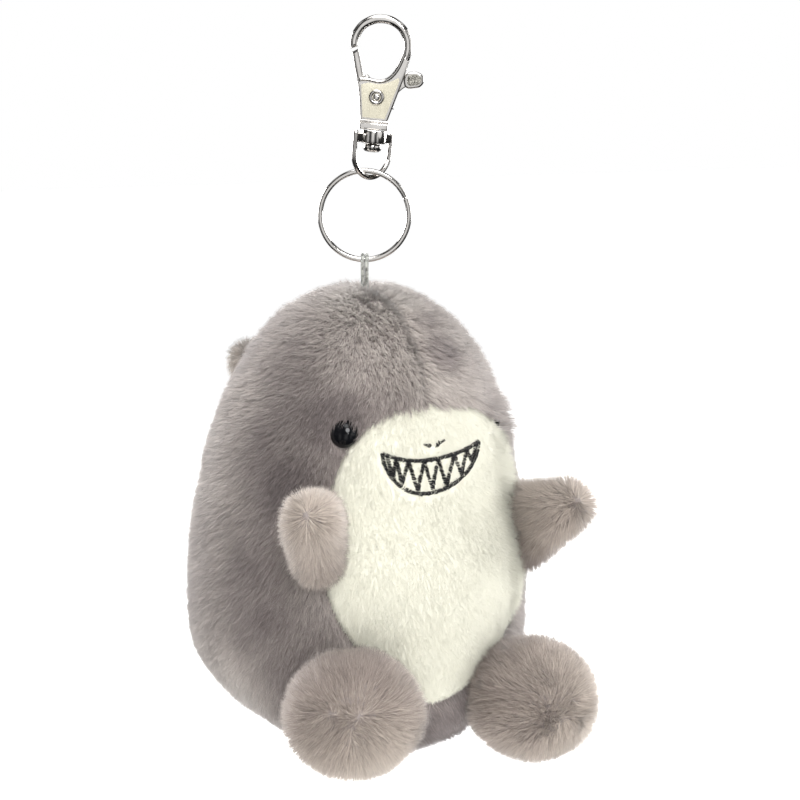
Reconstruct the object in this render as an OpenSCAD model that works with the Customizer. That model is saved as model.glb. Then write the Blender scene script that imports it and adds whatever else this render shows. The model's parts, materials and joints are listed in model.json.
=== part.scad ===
// Plush shark hanging from a swivel clasp: a sewn, stuffed body with flippers,
// feet and fins, on a cord loop, a split ring and a spring-gate clasp.
// The origin is the inside top of the clasp's hook, +Z is up and the shark faces -Y.

/* [Plush body] */
// Height of the stuffed body, crown to seat, without its pile
body_h = 95.4; // [90:0.2:100]
// Half the body's width at the waist
body_r = 34.8; // [33:0.1:36]
// Share of the height that lies below the waist
waist_share = 0.292; // [0.27:0.001:0.31]
// How far the body sets back for each millimetre below the crown
set_back = 0.043; // [0.02:0.001:0.06]
// Thickness of the pile fabric's backing
fabric_t = 1.2; // [0.8:0.1:1.6]
// Gap left between one sewn piece and the next
sewn_gap = 0.12; // [0.08:0.01:0.2]

/* [White panel] */
// Depth of the panel's top edge below the crown
panel_top = 21; // [18:0.5:24]
// Depth of its widest level below the crown
panel_mid = 53; // [48:0.5:56]
// Depth of its lower tip below the crown
panel_tip = 82.2; // [78:0.2:86]
// Angle it spans round the body from the nose to the shark's right
panel_angle = 43.5; // [40:0.5:46]
// How much further round the face reaches on the shark's left: its panel and its eye
left_reach = 1.27; // [1:0.01:1.3]

/* [Face] */
// Radius of a domed eye
eye_r = 2.95; // [2.6:0.05:3.2]
// Angle from the nose to the shark's right eye, round the body
eye_angle = 37; // [34:0.5:42]
// Depth of the eyes below the crown
eye_depth = 26.9; // [24:0.1:30]
// Half the angle that the grin spans
grin_angle = 22.8; // [16:0.2:24]
// Angle that the grin's middle is set off towards the shark's left
grin_turn = 1.6; // [0:0.1:3]
// How much higher its left corner is than its middle
grin_tilt = 0.45; // [0:0.05:1]
// Depth of the grin's corners below the crown
grin_depth = 30.6; // [28:0.2:34]
// Height of the grin from its corners to its lowest stitch
grin_drop = 9.2; // [7:0.1:11]
// Pointed teeth along the grin
teeth = 7; // [5:1:9]
// Radius of the embroidery thread
thread_r = 0.3; // [0.25:0.01:0.35]

/* [Limbs and fins] */
// Half the width of a foot, without its pile
foot_r = 12.5; // [11.5:0.1:13]
// Height of a foot over its width
foot_flat = 0.9; // [0.8:0.01:1]
// Radius of a flipper's rounded end
flipper_r = 4.3; // [4:0.1:5]
// How far each limb on the shark's left is sewn below its level, and on its right above it
limb_uneven = 1.7; // [0:0.1:2]
// Space that lets a limb turn against the body
limb_gap = 1.4; // [1.2:0.1:1.8]

/* [Cord and ring] */
// Radius of the braided cord
cord_r = 0.42; // [0.35:0.01:0.5]
// Inside radius of the split ring
ring_r = 8.85; // [8:0.05:10]
// Thickness of the ring across its band
ring_t = 1.1; // [0.9:0.05:1.3]
// Width of the ring's two coils together
ring_w = 1.6; // [1.4:0.1:1.8]
// How far the ring hangs to the left of the clasp's middle
ring_aside = 1.1; // [0:0.1:1.5]
// Height of the ring's lowest point over the crown
ring_over_crown = 5.6; // [5:0.1:7]

/* [Clasp] */
// Angle that the hardware is turned round from the shark's own front
hardware_turn = -30; // [-40:1:-20]
// Angle that the clasp leans to its right
clasp_lean = 5.06; // [0:0.01:8]
// Angle of the bail from the clasp's flat
bail_turn = 45; // [40:1:60]
// Radius of the hook's opening
hook_r = 4.75; // [4.5:0.05:5]
// Thickness of the clasp's body
clasp_t = 3.4; // [3.2:0.1:3.8]
// Radius of the bail's wire
bail_wire_r = 0.55; // [0.5:0.01:0.6]
// Half the distance between the bail's legs
bail_r = 5.2; // [5:0.1:5.6]
// Distance from the hook's inside top to where the ring hangs
hang_drop = 31.6; // [31:0.1:33]

/* [Hidden] */
$fn = 48;

grey = [0.55, 0.51, 0.50];
cream = [0.95, 0.95, 0.90];
fill = [0.9, 0.9, 0.92];
nickel = [0.78, 0.77, 0.74];
big = 200;

// where the bail's lowest wire is, along the leaning clasp
bail_low = hang_drop + bail_wire_r;
// the cord's vertical line, seen from above
cord_aside = bail_low * sin(clasp_lean) + ring_aside;
cord_x = -cord_aside * cos(hardware_turn);
cord_y = -cord_aside * sin(hardware_turn);
hang_gap = 0.3;
ring_z = -hang_drop * cos(clasp_lean) + hang_gap - ring_r;
ring_low = ring_z - ring_r - ring_t / 2;
crown_z = ring_z - ring_r - ring_t - ring_over_crown;
body_drop = body_h * waist_share;
body_rise = body_h - body_drop;
waist_z = crown_z - body_rise;
crown_round = 2.3;
seat_round = 2.8;

// ---------- the body's surface ----------

// Latitude runs from 90 at the crown through 0 at the waist to -90 at the seat.
function roundness(lat) = lat > 0 ? crown_round : seat_round;
function level(lat) = pow(abs(sin(lat)), 2 / roundness(lat));
function girth(lat) = pow(cos(lat), 2 / roundness(lat));
function height_at(lat, inset) =
    lat > 0 ? waist_z + (body_rise - inset) * level(lat) : waist_z - (body_drop - inset) * level(lat);
function latitude(z) =
    z > waist_z ? asin(pow((z - waist_z) / body_rise, crown_round / 2))
    : -asin(pow((waist_z - z) / body_drop, seat_round / 2));

// The head is a little narrower than round, and the face falls back under the nose.
function head_share(lat) = lat > 0 ? sin(90 * min(1, level(lat) / 0.6)) : 0;
function recess(z) = 0.12 * exp(-pow((z - crown_z + 37) / 13, 2));
function body_point(lat, turn, inset) =
    let (
        z = height_at(lat, inset),
        r = (body_r - inset) * girth(lat),
        wide = r * (1 - 0.04 * head_share(lat)),
        front = max(0, cos(turn)),
        deep = r * (1 + 0.06 * head_share(lat)) * (1 - recess(z) * front * front)
    )
    [cord_x + wide * sin(turn), cord_y + set_back * (crown_z - z) - deep * cos(turn), z];

function body_normal(lat, turn) =
    let (
        along = body_point(lat + 0.5, turn, 0) - body_point(lat - 0.5, turn, 0),
        round_it = body_point(lat, turn + 0.5, 0) - body_point(lat, turn - 0.5, 0),
        n = cross(round_it, along)
    )
    n / norm(n);

// Moves its children to a spot on the body, with their +Z pointing straight out.
module on_body(lat, turn) {
    p = body_point(lat, turn, 0);
    n = body_normal(lat, turn);
    translate(p)
        rotate([0, acos(n[2]), atan2(n[1], n[0])])
            children();
}

// A curved slab between two depths under the surface. Each row is [latitude, turn, turn],
// and the rows run downward.
module slab(rows, columns, outer, inner) {
    width = columns + 1;
    layer = len(rows) * width;
    function spot(row, j, inset) =
        body_point(row[0], row[1] + (row[2] - row[1]) * j / columns, inset);
    points = concat(
        [for (row = rows) for (j = [0:columns]) spot(row, j, outer)],
        [for (row = rows) for (j = [0:columns]) spot(row, j, inner)]);
    last = len(rows) - 1;
    faces = concat(
        [for (i = [0:last - 1]) for (j = [0:columns - 1]) each [
            [i * width + j, i * width + j + 1, (i + 1) * width + j + 1],
            [i * width + j, (i + 1) * width + j + 1, (i + 1) * width + j]]],
        [for (i = [0:last - 1]) for (j = [0:columns - 1]) each [
            [layer + i * width + j, layer + (i + 1) * width + j + 1, layer + i * width + j + 1],
            [layer + i * width + j, layer + (i + 1) * width + j, layer + (i + 1) * width + j + 1]]],
        [for (j = [0:columns - 1]) each [
            [j, layer + j, layer + j + 1],
            [j, layer + j + 1, j + 1],
            [last * width + j, layer + last * width + j + 1, layer + last * width + j],
            [last * width + j, last * width + j + 1, layer + last * width + j + 1]]],
        [for (i = [0:last - 1]) each [
            [i * width, (i + 1) * width, layer + (i + 1) * width],
            [i * width, layer + (i + 1) * width, layer + i * width],
            [i * width + columns, layer + (i + 1) * width + columns, (i + 1) * width + columns],
            [i * width + columns, layer + i * width + columns, layer + (i + 1) * width + columns]]]);
    polyhedron(points, faces, convexity = 4);
}

// The whole body as one closed solid, inset below the surface (or grown, if negative).
module body_solid(inset, rows = 22, columns = 30) {
    lats = [for (i = [0:rows]) 88 - 176 * i / rows];
    points = [for (lat = lats) for (j = [0:columns - 1]) body_point(lat, 360 * j / columns, inset)];
    faces = concat(
        [for (i = [0:rows - 1]) for (j = [0:columns - 1])
            let (k = (j + 1) % columns, a = i * columns, b = (i + 1) * columns)
            each [[a + j, a + k, b + k], [a + j, b + k, b + j]]],
        [[for (j = [0:columns - 1]) columns - 1 - j]],
        [[for (j = [0:columns - 1]) rows * columns + j]]);
    polyhedron(points, faces, convexity = 4);
}

// ---------- the white panel's outline ----------

panel_rows = 16;
panel_high = crown_z - panel_top;
panel_wide = crown_z - panel_mid;
panel_low = crown_z - panel_tip;
// The outline is squarer above its widest level than below it.
function outline_round(s) = s > 0 ? 3 : 1.6;
function outline_z(s) =
    s > 0 ? panel_wide + (panel_high - panel_wide) * pow(sin(s), 2 / outline_round(s))
    : panel_wide - (panel_wide - panel_low) * pow(-sin(s), 2 / outline_round(s));
function outline_angle(s) = panel_angle * pow(cos(s), 2 / outline_round(s));
outline = [for (i = [0:panel_rows]) let (s = 88.5 - 177 * i / panel_rows)
    [latitude(outline_z(s)), outline_angle(s)]];

// Angle that a gap of the sewn kind covers round the body.
function gap_angle(lat) = sewn_gap / 2 / (body_r * max(0.15, girth(lat))) * 180 / PI;

function reach(side) = side > 0 ? left_reach : 1;

module white_panel(outer, inner) {
    slab([for (row = outline)
            [row[0], gap_angle(row[0]) - row[1], row[1] * left_reach - gap_angle(row[0])]],
        12, outer, inner);
}

seat_lat = -58;
side_rows = concat(
    [for (i = [0:6]) [88.6 - (88.6 - outline[0][0] - 0.6) * i / 6, 0]],
    outline,
    [for (i = [1:5]) [outline[panel_rows][0] + (seat_lat - outline[panel_rows][0]) * i / 5, 0]]);

// Half of the grey fabric, drawn as if on the shark's left.
module side_panel(side) {
    slab([for (row = side_rows)
            [row[0], row[1] * reach(side) + gap_angle(row[0]), 180 - gap_angle(row[0])]],
        14, 0, fabric_t);
}

module both_sides(side) {
    // the body mirrors about the cord's line
    translate([cord_x, 0, 0])
        mirror([side < 0 ? 1 : 0, 0, 0])
            translate([-cord_x, 0, 0])
                children();
}

// ---------- swept threads and cords ----------

function unit(v) = v / norm(v);

// A tube along a path of points. Each ring faces along the path, and starts on the side
// nearest to the given direction.
module tube(path, r, start_side, sides, closed = false) {
    n = len(path);
    function ahead(i) = closed ? path[(i + 1) % n] : path[min(i + 1, n - 1)];
    function behind(i) = closed ? path[(i + n - 1) % n] : path[max(i - 1, 0)];
    function ring_at(i, side_way) =
        let (
            along = unit(ahead(i) - behind(i)),
            across = unit(side_way - along * (side_way * along)),
            third = cross(along, across)
        )
        [for (k = [0:sides - 1])
            path[i] + r * (cos(360 * k / sides) * across + sin(360 * k / sides) * third)];
    points = [for (i = [0:n - 1]) each ring_at(i, start_side)];
    spans = closed ? n : n - 1;
    faces = concat(
        [for (i = [0:spans - 1]) for (k = [0:sides - 1])
            let (a = i * sides, b = ((i + 1) % n) * sides, m = (k + 1) % sides)
            each [[a + k, b + k, b + m], [a + k, b + m, a + m]]],
        closed ? [] : [
            [for (k = [0:sides - 1]) k],
            [for (k = [0:sides - 1]) (n - 1) * sides + sides - 1 - k]]);
    polyhedron(points, faces, convexity = 8);
}

// ---------- hardware ----------

// From the clasp's own upright frame to the way it hangs: the hook's inside top stays put.
module clasp_frame() {
    rotate([0, 0, hardware_turn])
        rotate([0, clasp_lean, 0])
            children();
}

hook_mid = -hook_r;
hook_wire = 1.85;
gate_pivot = [0.2, -15.3];
rivet_r = 0.8;
slot_t = 1.6;
lever_t = 1.4;
slot_top = -9.2;
slot_low = -17.7;
collar_top = -20.2;
collar_low = -22.1;
stud_r = 1;
boss_top = -22.25;
boss_low = -25;
head_low = -26.8;
bore_gap = 0.05;

// Flat shapes are drawn in the clasp's plane, x to the right and z up.
module plate(t) {
    rotate([90, 0, 0])
        translate([0, 0, -t / 2])
            linear_extrude(t)
                children();
}

module across(p, r, length) {
    translate([p[0], 0, p[1]])
        rotate([90, 0, 0])
            cylinder(r = r, h = length, center = true);
}

// The slope of the cut between the hook's tip and the gate
mouth_angle = 33;
mouth = [-5.36, -6.5];

module hook_loop() {
    corner = 0.5;
    w = hook_wire;
    d = 1.2;
    translate([0, 0, hook_mid])
        rotate([90, 0, 0])
            rotate([0, 0, -28])
                rotate_extrude(angle = 230, $fn = 96)
                    polygon([[hook_r, -d + corner], [hook_r + corner, -d], [hook_r + w - corner, -d],
                        [hook_r + w, -d + corner], [hook_r + w, d - corner], [hook_r + w - corner, d],
                        [hook_r + corner, d], [hook_r, d - corner]]);
}

module clasp_hook() {
    color(nickel)
        clasp_frame()
            difference() {
                union() {
                    // the loop, cut on the slant at its tip
                    difference() {
                        hook_loop();
                        translate([mouth[0], 0, mouth[1]])
                            rotate([0, -mouth_angle, 0])
                                translate([-5, -5, -10])
                                    cube([7, 10, 10]);
                    }
                    // the flat body, its two cheeks joined under the slot
                    plate(clasp_t)
                        polygon([[6, -7.5], [5.25, -11.4], [2.55, collar_top], [-2.35, collar_top],
                            [-4.2, -12.4], [-1, -12.4], [-1, -11], [4.2, -6.85]]);
                    translate([0, 0, collar_low])
                        cylinder(r = 3, h = collar_top - collar_low);
                }
                across([-0.1, -7.6], 4.1, 10);
                translate([-8, -slot_t / 2, slot_low])
                    cube([18, slot_t, slot_top - slot_low]);
                across(gate_pivot, rivet_r, 10);
                translate([0, 0, collar_low - 1])
                    cylinder(r = stud_r, h = 4.5);
            }
}

module clasp_gate() {
    color(nickel)
        clasp_frame()
            difference() {
                union() {
                    // the finger that closes the hook's mouth
                    plate(2)
                        polygon([[-5.36, -6.87], [-4.1, -6.05], [-2.65, -11.3], [-2.5, -12.1],
                            [-4.35, -12.1]]);
                    // the lever inside the slot
                    plate(lever_t)
                        polygon([[-4.3, -11.7], [-2.6, -11.7], [0.8, -13.1], [5.6, -10.1],
                            [7.4, -9.8], [8, -12], [6.6, -12.3], [1.6, -16], [-1.4, -16.4]]);
                    across(gate_pivot, 2, lever_t);
                    // the thumb tab, clear of the body's edge as it turns
                    difference() {
                        union() {
                            across([8.3, -10.9], 1.55, 2.2);
                            plate(2.2)
                                polygon([[4.6, -9.9], [8.4, -9.35], [8.2, -12.45], [4.8, -13.1]]);
                        }
                        across(gate_pivot, 7.6, 10);
                        // shallow grip on both faces
                        for (face = [-1, 1])
                            translate([0, face * 1.15, 0])
                                across([8.2, -10.9], 1, 0.5);
                    }
                }
                across(gate_pivot, rivet_r + bore_gap, 10);
            }
}

module gate_rivet() {
    color(nickel)
        clasp_frame()
            union() {
                across(gate_pivot, rivet_r, clasp_t + 1);
                for (face = [-1, 1])
                    translate([0, face * (clasp_t / 2 + 0.26), 0])
                        difference() {
                            across(gate_pivot, 1.65, 0.5);
                            translate([0, face * 0.2, 0])
                                across(gate_pivot, 1, 0.3);
                        }
            }
}

spring_x = 3.2;
spring_low = slot_low + 0.2;
spring_top = -15.05;

module gate_spring() {
    turns = 4;
    steps = 40;
    color("silver")
        clasp_frame()
            tube([for (i = [0:steps]) let (a = 360 * turns * i / steps)
                [spring_x + 0.5 * cos(a), 0.5 * sin(a), spring_low + (spring_top - spring_low) * i / steps]],
                0.13, [0, 0, 1], 6);
}

module swivel_stud() {
    color(nickel)
        clasp_frame()
            union() {
                translate([0, 0, head_low + 0.3])
                    cylinder(r = stud_r, h = collar_low + 3.4 - head_low - 0.3);
                translate([0, 0, head_low])
                    cylinder(r1 = 1.5, r2 = 2, h = 0.5);
                translate([0, 0, head_low + 0.5])
                    cylinder(r = 2, h = boss_low - 0.15 - head_low - 0.5);
            }
}

bail_mid = -bail_low + bail_r;
leg_top = -22.4;

module swivel_bail() {
    color(nickel)
        clasp_frame()
            rotate([0, 0, bail_turn])
                difference() {
                    union() {
                        translate([0, 0, boss_low])
                            cylinder(r = 1.9, h = boss_top - boss_low);
                        translate([-bail_r, -0.5, boss_low + 0.15])
                            cube([2 * bail_r, 1, 1.9]);
                        for (side = [-1, 1])
                            translate([side * bail_r, 0, bail_mid])
                                cylinder(r = bail_wire_r, h = leg_top - bail_mid);
                        translate([0, 0, bail_mid])
                            rotate([90, 0, 0])
                                rotate([0, 0, 180])
                                    rotate_extrude(angle = 180, $fn = 72)
                                        translate([bail_r, 0])
                                            circle(r = bail_wire_r, $fn = 24);
                    }
                    translate([0, 0, boss_low - 1])
                        cylinder(r = stud_r + bore_gap, h = 5);
                }
}

module split_ring() {
    e = 0.2;
    groove = 0.1;
    w = ring_w / 2;
    r = ring_r;
    t = ring_t;
    color(nickel)
        translate([cord_x, cord_y, ring_z])
            rotate([90, 0, hardware_turn])
                rotate_extrude($fn = 96)
                    polygon([[r, -w + e], [r + e, -w], [r + t - e, -w], [r + t, -w + e],
                        [r + t, -groove], [r + t - groove, 0], [r + t, groove],
                        [r + t, w - e], [r + t - e, w], [r + e, w], [r, w - e],
                        [r, groove], [r + groove, 0], [r, -groove]]);
}

// Two turns of cord side by side: over the ring's band, down in front and behind, and
// narrowing through the crown's opening.
cord_over = 1.5;
cord_neck = 0.5;
cord_depth = 3.6;

module cord_loop() {
    low = crown_z - cord_depth - ring_low;
    leg_steps = 6;
    // the leg leaves the ring at full width and eases to the neck's width
    function ease(s) = (1 - cos(180 * s)) / 2;
    function leg_y(s) = cord_over + (cord_neck - cord_over) * ease(min(1, s * 2));
    over = [for (i = [0:10]) [cord_over * cos(18 * i), cord_over * sin(18 * i)]];
    down = [for (i = [1:leg_steps]) let (s = i / leg_steps) [-leg_y(s), low * s]];
    under = [for (i = [1:4]) [-cord_neck * cos(36 * i), low - cord_neck * sin(36 * i)]];
    back = [for (i = [0:leg_steps - 1]) let (s = 1 - i / leg_steps) [leg_y(s), low * s]];
    color("gainsboro")
        for (side = [-1, 1])
            translate([cord_x, cord_y, ring_low])
                rotate([0, 0, hardware_turn])
                    tube([for (p = concat(over, down, under, back)) [side * (cord_r + 0.03), p[0], p[1]]],
                        cord_r, [1, 0, 0], 8, true);
}

// ---------- eyes ----------

eye_lat = latitude(crown_z - eye_depth);
shank_r = 0.9;
shank_l = 5;
// The shank pulls the eye a little into the fabric
eye_sink = 0.6;
washer_depth = fabric_t + 0.5;
washer_t = 0.8;

module eye(side) {
    color([0.05, 0.05, 0.06])
        both_sides(side)
            on_body(eye_lat, eye_angle * reach(side))
                union() {
                    translate([0, 0, -eye_sink])
                        intersection() {
                            translate([0, 0, -0.75])
                                sphere(r = 3.1);
                            cylinder(r = eye_r, h = 4);
                        }
                    translate([0, 0, -shank_l])
                        cylinder(r = shank_r, h = shank_l + 0.5);
                }
}

module eye_washer(side) {
    color("white")
        both_sides(side)
            on_body(eye_lat, eye_angle * reach(side))
                translate([0, 0, -washer_depth - washer_t])
                    difference() {
                        cylinder(r = 3.2, h = washer_t);
                        translate([0, 0, -1])
                            cylinder(r = shank_r + 0.04, h = washer_t + 2);
                    }
}

module eye_hole(side) {
    on_body(eye_lat, eye_angle * reach(side)) {
        translate([0, 0, -4])
            cylinder(r = shank_r + 0.15, h = 8);
        translate([0, 0, -eye_sink - 0.06])
            cylinder(r = eye_r + 0.1, h = 4);
    }
}

module eye_pocket(side) {
    on_body(eye_lat, eye_angle * reach(side))
        translate([0, 0, -shank_l - 1])
            cylinder(r = 3.6, h = shank_l + 3);
}

// ---------- fabric and filling of the body ----------

module grey_side(side) {
    color(grey)
        both_sides(side)
            difference() {
                side_panel(side);
                eye_hole(side);
            }
}

module belly_panel() {
    color(cream)
        difference() {
            white_panel(0, fabric_t);
            for (side = [-1, 1])
                both_sides(side)
                    eye_hole(side);
        }
}

module base_panel() {
    top = seat_lat - 0.3;
    color(grey)
        difference() {
            body_solid(0);
            body_solid(fabric_t);
            translate([-big / 2, -big / 2, height_at(top, 0)])
                cube(big);
        }
}

bag_r = 20;
bag_h = 15;
bag_z = waist_z - body_drop + fabric_t + 9.5;
bag_y = cord_y + set_back * (crown_z - bag_z);
bag_t = 0.5;

// A flat round cushion with a full edge
module cushion(r, h) {
    rotate_extrude()
        intersection() {
            union() {
                translate([0, -h / 2])
                    square([r - h / 2, h]);
                translate([r - h / 2, 0])
                    circle(d = h);
            }
            translate([0, -h])
                square([r + 1, 2 * h]);
        }
}

module body_stuffing() {
    color(fill)
        difference() {
            body_solid(fabric_t + 0.15, 20, 28);
            for (side = [-1, 1])
                both_sides(side)
                    eye_pocket(side);
            translate([cord_x, cord_y, crown_z - cord_depth - 3])
                cylinder(r = 2.6, h = cord_depth + 6);
            translate([cord_x, bag_y, bag_z])
                cushion(bag_r + 0.2, bag_h + 0.4);
        }
}

module pellet_bag() {
    color("ivory")
        translate([cord_x, bag_y, bag_z])
            difference() {
                cushion(bag_r, bag_h);
                cushion(bag_r - bag_t, bag_h - 2 * bag_t);
            }
}

pellet_r = 2.2;

module pellets() {
    color("white")
        translate([cord_x, bag_y, bag_z])
            for (layer = [-1:1])
                for (round_no = [0:3])
                    for (k = [0:max(1, 6 * round_no) - 1])
                        if (layer == 0 || round_no < 3)
                            rotate([0, 0, 360 * k / max(1, 6 * round_no)])
                                translate([round_no * 4.7, 0, layer * 4.6])
                                    sphere(r = pellet_r, $fn = 16);
}

// ---------- embroidery ----------

// Out of the face and a little up, so that it is never along a thread
thread_side = [0, -1, 0.3];

// Spots on the face are [turn, depth below the crown], raised just clear of the fabric.
function face_point(spot) =
    let (
        lat = latitude(crown_z - spot[1]),
        p = body_point(lat, spot[0], 0),
        n = body_normal(lat, spot[0])
    )
    p + n * (thread_r + 0.12);
function grin_low(turn) = grin_depth + grin_drop * pow(max(0, 1 - pow(turn / grin_angle, 2)), 0.6);
function grin_high(turn) = grin_depth + 2 * (1 - pow(turn / grin_angle, 2));

function grin_point(spot) = face_point([spot[0] + grin_turn, spot[1] - grin_tilt * spot[0] / grin_angle]);

// The grin's outline is one closed thread, and its teeth are a zigzag thread inside it.
module mouth_stitching() {
    steps = 20;
    thread_gap = 0.8;
    function turn_at(i) = -grin_angle * cos(180 * i / steps);
    lower = [for (i = [0:steps]) [turn_at(i), grin_low(turn_at(i))]];
    upper = [for (i = [steps - 1:-1:1]) [turn_at(i), grin_high(turn_at(i))]];
    inner = grin_angle * 0.84;
    tips = 2 * teeth;
    zigzag = [for (i = [0:tips]) let (turn = -inner + 2 * inner * i / tips)
        [turn, i % 2 == 0 ? grin_high(turn) + thread_gap : grin_low(turn) - thread_gap]];
    fine = [for (i = [0:tips - 1]) for (s = [0, 1 / 3, 2 / 3]) zigzag[i] + s * (zigzag[i + 1] - zigzag[i])];
    color("black") {
        tube([for (spot = concat(lower, upper)) grin_point(spot)], thread_r, thread_side, 6, true);
        tube([for (spot = concat(fine, [zigzag[tips]])) grin_point(spot)], thread_r * 0.8,
            thread_side, 6);
    }
}

module nostril_stitching() {
    color("black")
        for (side = [-1, 1])
            tube([for (s = [0:3]) face_point([0.4 + side * (1.8 + 0.5 * s), 29.4 - 0.25 * s])],
                thread_r, thread_side, 6);
}

// ---------- flippers, feet and fins ----------

// Sets out places on the shark from the cord's line and the crown.
function place(p) = [cord_x + p[0], cord_y + p[1], crown_z + p[2]];

module limb(r, shrink, list, raised = 0) {
    hull()
        for (p = list)
            translate(place(p) + [0, 0, raised])
                sphere(r = r * p[3] - shrink, $fn = 24);
}

// A flipper's spots: x, y, z and the share of its end's radius
flipper_spots = [[22.6, -21.5, -45.5, 0.9], [22.6, -21.5, -56, 0.9], [30.4, -32.7, -42.7, 1]];

module flipper_shape(side, shrink) {
    limb(flipper_r, shrink, flipper_spots, -side * limb_uneven);
}

module off_body() {
    difference() {
        children();
        body_solid(-limb_gap, 20, 28);
    }
}

module flipper_skin(side) {
    color(grey)
        both_sides(side)
            off_body()
                difference() {
                    flipper_shape(side, 0);
                    flipper_shape(side, fabric_t);
                }
}

module flipper_fill(side) {
    color(fill)
        both_sides(side)
            off_body()
                flipper_shape(side, fabric_t + 0.12);
}

foot_place = [21.4, -33.6, -83.2];

module at_foot(side) {
    translate(place(foot_place) + [0, 0, -side * limb_uneven])
        children();
}

// A ball a little wider than it is high, as a turned outline
module foot_ball(inset) {
    steps = 18;
    r = foot_r - inset;
    h = foot_r * foot_flat - inset;
    rotate_extrude()
        polygon([for (i = [0:steps]) let (a = 90 - 180 * i / steps)
            [i % steps == 0 ? 0 : r * cos(a), h * sin(a)]]);
}

// The upper half of a foot, or its sole: they are sewn together along a level seam.
module foot_half(side, upper) {
    color(grey)
        both_sides(side)
            off_body()
                at_foot(side)
                    difference() {
                        foot_ball(0);
                        foot_ball(fabric_t);
                        translate([-big / 2, -big / 2, upper ? -big + sewn_gap / 2 : -sewn_gap / 2])
                            cube(big);
                    }
}

module foot_fill(side) {
    color(fill)
        both_sides(side)
            off_body()
                at_foot(side)
                    foot_ball(fabric_t + 0.12);
}

fin_r = 3.5;
dorsal_spots = [[0, 27, -22, 1], [0, 31, -46, 1], [0, 57, -25, 1], [0, 50, -33, 0.9]];
tail_root = [0, 34, -79, 1.8];
tail_wrist = [0, 45, -77, 1.5];
tail_upper = [tail_root, tail_wrist, [0, 60, -60, 0.85]];
tail_lower = [tail_root, tail_wrist, [0, 59, -88, 0.85]];

module dorsal_shape(shrink) {
    limb(fin_r, shrink, dorsal_spots);
}

module tail_shape(shrink) {
    union() {
        limb(fin_r, shrink, tail_upper);
        limb(fin_r, shrink, tail_lower);
    }
}

module dorsal_fin() {
    color(grey)
        off_body()
            difference() {
                dorsal_shape(0);
                dorsal_shape(fabric_t);
            }
}

module dorsal_fin_stuffing() {
    color(fill)
        off_body()
            dorsal_shape(fabric_t + 0.12);
}

module tail_fin() {
    color(grey)
        off_body()
            difference() {
                tail_shape(0);
                tail_shape(fabric_t);
            }
}

module tail_fin_stuffing() {
    color(fill)
        off_body()
            tail_shape(fabric_t + 0.12);
}

clasp_hook();
clasp_gate();
gate_rivet();
gate_spring();
swivel_stud();
swivel_bail();
split_ring();
cord_loop();
grey_side(1);  // side_panel_left
grey_side(-1);  // side_panel_right
belly_panel();
base_panel();
body_stuffing();
pellet_bag();
pellets();
eye(1);  // eye_left
eye(-1);  // eye_right
eye_washer(1);  // eye_washer_left
eye_washer(-1);  // eye_washer_right
mouth_stitching();
nostril_stitching();
flipper_skin(1);  // flipper_left
flipper_fill(1);  // flipper_left_stuffing
flipper_skin(-1);  // flipper_right
flipper_fill(-1);  // flipper_right_stuffing
foot_half(1, true);  // foot_left
foot_half(1, false);  // foot_left_sole
foot_fill(1);  // foot_left_stuffing
foot_half(-1, true);  // foot_right
foot_half(-1, false);  // foot_right_sole
foot_fill(-1);  // foot_right_stuffing
dorsal_fin();
dorsal_fin_stuffing();
tail_fin();
tail_fin_stuffing();
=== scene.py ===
"""Looks of the plush shark on its swivel clasp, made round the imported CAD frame."""
import json
import math

import bmesh
import bpy
import numpy as np
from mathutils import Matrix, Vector
from mathutils.bvhtree import BVHTree
from mathutils.kdtree import KDTree


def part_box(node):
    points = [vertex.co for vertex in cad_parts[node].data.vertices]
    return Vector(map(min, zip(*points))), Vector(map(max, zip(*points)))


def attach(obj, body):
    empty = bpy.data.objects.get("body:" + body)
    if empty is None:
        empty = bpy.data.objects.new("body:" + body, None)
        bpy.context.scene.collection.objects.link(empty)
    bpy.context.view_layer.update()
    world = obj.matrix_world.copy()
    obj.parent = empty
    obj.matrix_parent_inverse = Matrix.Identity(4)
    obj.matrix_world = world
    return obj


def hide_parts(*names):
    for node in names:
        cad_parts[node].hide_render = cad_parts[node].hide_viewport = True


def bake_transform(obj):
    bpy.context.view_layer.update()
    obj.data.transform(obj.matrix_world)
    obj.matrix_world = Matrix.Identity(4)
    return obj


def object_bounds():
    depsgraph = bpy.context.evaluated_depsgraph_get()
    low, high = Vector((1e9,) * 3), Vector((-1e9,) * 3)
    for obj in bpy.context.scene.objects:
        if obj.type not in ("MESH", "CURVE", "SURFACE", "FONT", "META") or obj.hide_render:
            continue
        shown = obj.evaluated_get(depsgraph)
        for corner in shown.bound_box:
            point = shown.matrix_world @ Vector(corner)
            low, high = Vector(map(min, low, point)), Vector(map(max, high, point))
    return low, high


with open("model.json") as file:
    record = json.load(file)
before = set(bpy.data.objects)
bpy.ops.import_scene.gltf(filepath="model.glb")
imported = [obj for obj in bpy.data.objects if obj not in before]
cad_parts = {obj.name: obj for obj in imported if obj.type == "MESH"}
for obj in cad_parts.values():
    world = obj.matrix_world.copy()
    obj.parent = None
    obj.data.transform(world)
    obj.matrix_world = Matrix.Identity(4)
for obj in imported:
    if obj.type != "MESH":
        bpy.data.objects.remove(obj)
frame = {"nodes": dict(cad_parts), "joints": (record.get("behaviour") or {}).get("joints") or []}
CAD_BOX = [list(corner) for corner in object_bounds()]
NODES = frame["nodes"]
MM = 0.001

# ---------------------------------------------------------------- places taken from the frame


def box_mid(node):
    low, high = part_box(node)
    return (low + high) / 2


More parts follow.
